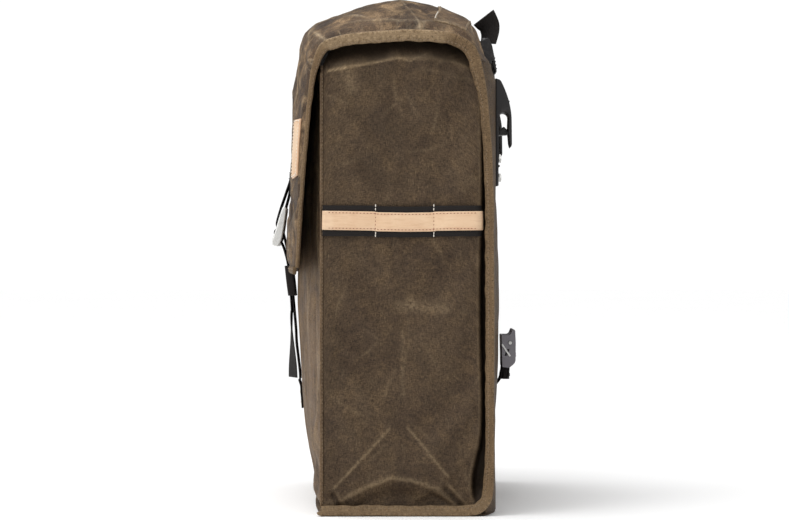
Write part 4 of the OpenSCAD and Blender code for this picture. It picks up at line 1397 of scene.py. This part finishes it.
def ladder_lock():
    """Moulded frame with two slots, a ribbed lever behind and a bar the webbing turns round."""
    w = 16
    on_lock = {"tilt": LOCK, "body": "ladder_lock"}
    outer = rounded([(-w, 6.5), (w, 6.5), (w - 0.5, 30), (-w + 0.5, 30)], 3.2, 6)
    holes = [rounded([(-12.8, z), (12.8, z), (12.8, z + 4.6), (-12.8, z + 4.6)], 1.2) for z in (11.6, 21.4)]
    plate("lock_frame", [outer] + holes, -5, -1.6, NYLON, bevel=0.7, flat=True, replaces=["ladder_lock"],
          **on_lock)
    cheek = rounded([(-7.8, 25), (-6.4, 27.6), (0.4, 29.4), (2.2, 22), (1.6, 8.6), (-5.0, 8.8),
                     (-8.6, 13)], 1.6)
    for k, x in enumerate((-w, 13.2)):
        plate(f"lock_cheek_{k}", [cheek], x, x + 2.8, NYLON, bevel=0.6, **on_lock)
    lever = rounded([(-2.0, 20.4), (1.2, 19.6), (2.2, 13), (0.9, -1.4), (-0.8, -2.3), (-1.4, 5),
                     (-2.0, 14)], 1.2)
    plate("lock_lever", [lever], -10.8, 10.8, NYLON, bevel=0.7, **on_lock)
    for k in range(4):
        y, z = tilted((0, 2.1 - 0.26 * k, 11.0 - 3.1 * k), *LOCK)[1:]
        rod(f"lock_grip_{k}", y, z, 9.6, 0.55, NYLON, 10, body="ladder_lock")


def lock_anchor():
    """Webbing sewn high on the back, round the lock's bar and back over itself."""
    bar = tilted((0, -3.3, 9.0), *LOCK)[1:]
    route = [(85.3, 336), (85.3, 352), (85.2, 364), (83.4, 372), (80.6, 377)]
    route += arc_round(bar, 3.2, 170, -40, 9)
    route += [(85.4, 374), (86.6, 367), (86.9, 352)]
    strap("lock_webbing", route, "root", ["lock_anchor"], pitch=1.4)
    for row in range(3):
        tack(f"lock_tack_{row}", 87.85, 354 + row, (0, 1, 0))


yoke()
lid_strap()
ladder_lock()
lock_anchor()


# ---------- Rack hooks ----------


def rack_hook(label, side):
    """Hook over the rack's rail: two full cheeks with a thinner core and web between them, and its ribs."""
    x0, x1 = sorted((side * (HOOK_X - HOOK_W / 2), side * (HOOK_X + HOOK_W / 2)))
    cheek = 5.6
    inside = (x0 + cheek - 0.6, x1 - cheek + 0.6)
    wall = BACK_Y + 3
    inner = RAIL_Y + RAIL_R
    throat = [(wall, RAIL_Z)] + arc_round((RAIL_Y, RAIL_Z), RAIL_R, 180, 0, 12)[1:]
    finger = [(inner, RAIL_Z - 14, 2), (inner + 0.7, 305, 1), (FINGER_Y - 1.2, 301.6, 0.8),
              (FINGER_Y, 304, 1)]
    crown = [(FINGER_Y - 0.3, 330, 8), (95.3, 342, 10), (91.5, 352, 6), (88.4, 358.4, 2),
             (BACK_Y, 359.6, 0.8)]
    foot = [(BACK_Y + 0.1, 269, 0.6), (wall - 0.6, 270.4, 1), (wall, 300, 2)]
    outline = rounded(foot, 1) + throat + rounded(finger + crown, 1)
    for k, x in enumerate((x0, x1 - cheek)):
        plate(f"hook_cheek_{label}_{k}", [outline], x, x + cheek, NYLON, bevel=0.8,
              replaces=["hook_" + label] if k == 0 else ())
    tip = [(inner, RAIL_Z - 12, 1), (FINGER_Y - 1.6, RAIL_Z - 12, 1)]
    back = [(y - 0.9 if y > BACK_Y else y, z - 0.6, r) for y, z, r in crown]
    core = rounded([(BACK_Y, RAIL_Z - 8.6), (wall, RAIL_Z - 8.6)], 0.4) + throat + rounded(tip + back, 1)
    plate(f"hook_core_{label}", [core], *inside, NYLON, bevel=0.4)
    web = rounded([(BACK_Y, 270), (wall, 270), (wall, 301.5), (BACK_Y, 301.5)], 0.6)
    plate(f"hook_web_{label}", [web], *inside, NYLON, bevel=0.3)
    ribs = ((wall + 0.2, 286.5, 9), (95.39, 340.5, 7.5), (92.87, 346.5, 7.5))
    for k, (y, z, half) in enumerate(ribs):
        rod(f"hook_rib_{label}_{k}", y, z, half, 0.9, NYLON, 12, x=side * HOOK_X)


def hook_latch(label, side):
    """Sprung arm that closes the hook's throat under the rail, and its barrel."""
    y, z = BACK_Y + 2.1, RAIL_Z - 13
    half = 5.8
    arm = rounded([(y - 1.2, z - 1.5), (y + 4, z - 1.7, 2), (94.6, z - 1.3, 0.8), (94.6, z + 2.4, 0.8),
                   (RAIL_Y, z + 6.3, 2.5), (88.6, z + 2.2, 2), (y - 1.2, z + 1.6)], 1)
    plate("latch_arm_" + label, [arm], side * HOOK_X - half, side * HOOK_X + half, NYLON, bevel=0.5,
          body="latch_" + label, replaces=["hook_latch_" + label])
    rod("latch_barrel_" + label, y, z, half, 1.75, NYLON, 18, x=side * HOOK_X, body="latch_" + label)


for label, side in HANDS.items():
    rack_hook(label, side)
    hook_latch(label, side)


# ---------- Cam buckle ----------


def cam_buckle():
    """Two alloy cheeks on a base, with a bar, a bridge, a brace each, and the cam lever on its pin."""
    y, z = CAM
    pin = (y + 7.5, z + 20)
    cheek = rounded([(y + 0.2, z - 1, 1), (y + 6.5, z - 2, 2), (y + 12.2, z + 3, 2.5), (y + 12.4, z + 21, 3),
                     (y + 11.8, z + 31.4, 1.6), (y + 9.2, z + 32.2, 1.5), (y + 7.6, z + 28.0, 2),
                     (y + 6.2, z + 27.0, 1), (y - 0.4, z + 27.0, 1)], 1)
    slot = rounded([(y + 2.6, z + 9), (y + 4.4, z + 9), (y + 6.4, z + 14.5), (y + 4.6, z + 14.5)], 0.6)
    for k, x in enumerate((-17, 14.5)):
        plate(f"buckle_cheek_{k}", [cheek, arc_round(pin, 1.55, 360, 0, 18)[:-1], slot], x, x + 2.5,
              GREY_ALLOY, bevel=0.5, body="buckle", replaces=["cam_buckle"] if k == 0 else ())
    brace = rounded([(y + 0.6, z + 19.6), (y - 0.2, z + 18.2), (y + 6.8, z + 7.8), (y + 8.0, z + 9.0)], 0.6)
    for k, x in enumerate((-17.9, 16.9)):
        plate(f"buckle_brace_{k}", [brace], x, x + 1.0, ALLOY, bevel=0.35, body="buckle", slot="buckle_alloy")
    base = rounded([(y, z + 7), (y + 2, z + 7), (y + 2, z + 26.6), (y, z + 26.6)], 0.7)
    plate("buckle_base", [base], -14.6, 14.6, GREY_ALLOY, bevel=0.3, body="buckle")
    rod("buckle_bar", y + 5, z + 1.5, 15, 1.7, GREY_ALLOY, 20, body="buckle")
    rod("buckle_bridge", y + 10.6, z + 29.5, 15, 1.5, GREY_ALLOY, 20, body="buckle")
    lever = rounded([(y + 5.2, z + 22.8, 1.5), (y + 9.8, z + 22.8, 1.5), (y + 12.9, z + 10.5, 2.5),
                     (y + 12.2, z + 5.4, 1), (y + 10.2, z + 5.6, 1), (y + 9.2, z + 12, 2),
                     (y + 5.6, z + 16.4, 2), (y + 4.4, z + 19, 1)], 1)
    plate("buckle_lever", [lever, arc_round(pin, 1.6, 360, 0, 18)[:-1]], -13.6, 13.6, GREY_ALLOY, bevel=0.6,
          body="lever", replaces=["cam_lever"])
    for k in range(3):
        rod(f"lever_grip_{k}", y + 12.4 - 0.18 * k, z + 8.5 + 2.2 * k, 11.5, 0.6, GREY_ALLOY, 10,
            body="lever")


def lower_anchor():
    """Webbing out of the seam low on the back, round the buckle's bar and sewn to itself."""
    bar = (CAM[0] + 5, CAM[1] + 1.5)
    route = [(89.0, 100.5), (92.0, 104.6), (93.2, 110)] + arc_round(bar, 2.95, 170, -60, 9)
    route += [(99.2, 111), (98.4, 106.5), (96.4, 105)]
    strap("lower_webbing", route, "root", ["lower_anchor"], pitch=1.3)
    strap("lower_webbing_fold", [(96.4, 104.4), (96.5, 109), (96.7, 113), (97.0, 116.6)], "root", pitch=1.3,
          section=band_section(WEB_W - 0.6, 7.6, across=42))
    for row in range(2):
        tack(f"lower_tack_{row}", 100.3, 107.5 + 1.2 * row, (0, 1, 0))


cam_buckle()
lower_anchor()


# ---------- CAD parts that stay ----------

KEPT = {
    "back_stiffener": NYLON_SHEET, "base_board": NYLON_SHEET,
    "latch_pin_left": STEEL, "latch_pin_right": STEEL, "cam_pin": STEEL,
    "backing_strip_left": STEEL, "backing_strip_right": STEEL, "hook_screws": STEEL, "hook_nuts": STEEL,
}
for node, paint in KEPT.items():
    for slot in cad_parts[node].material_slots:
        slot.link = "OBJECT"
        slot.material = paint


# ---------- Final scene update -------

bpy.context.view_layer.update()
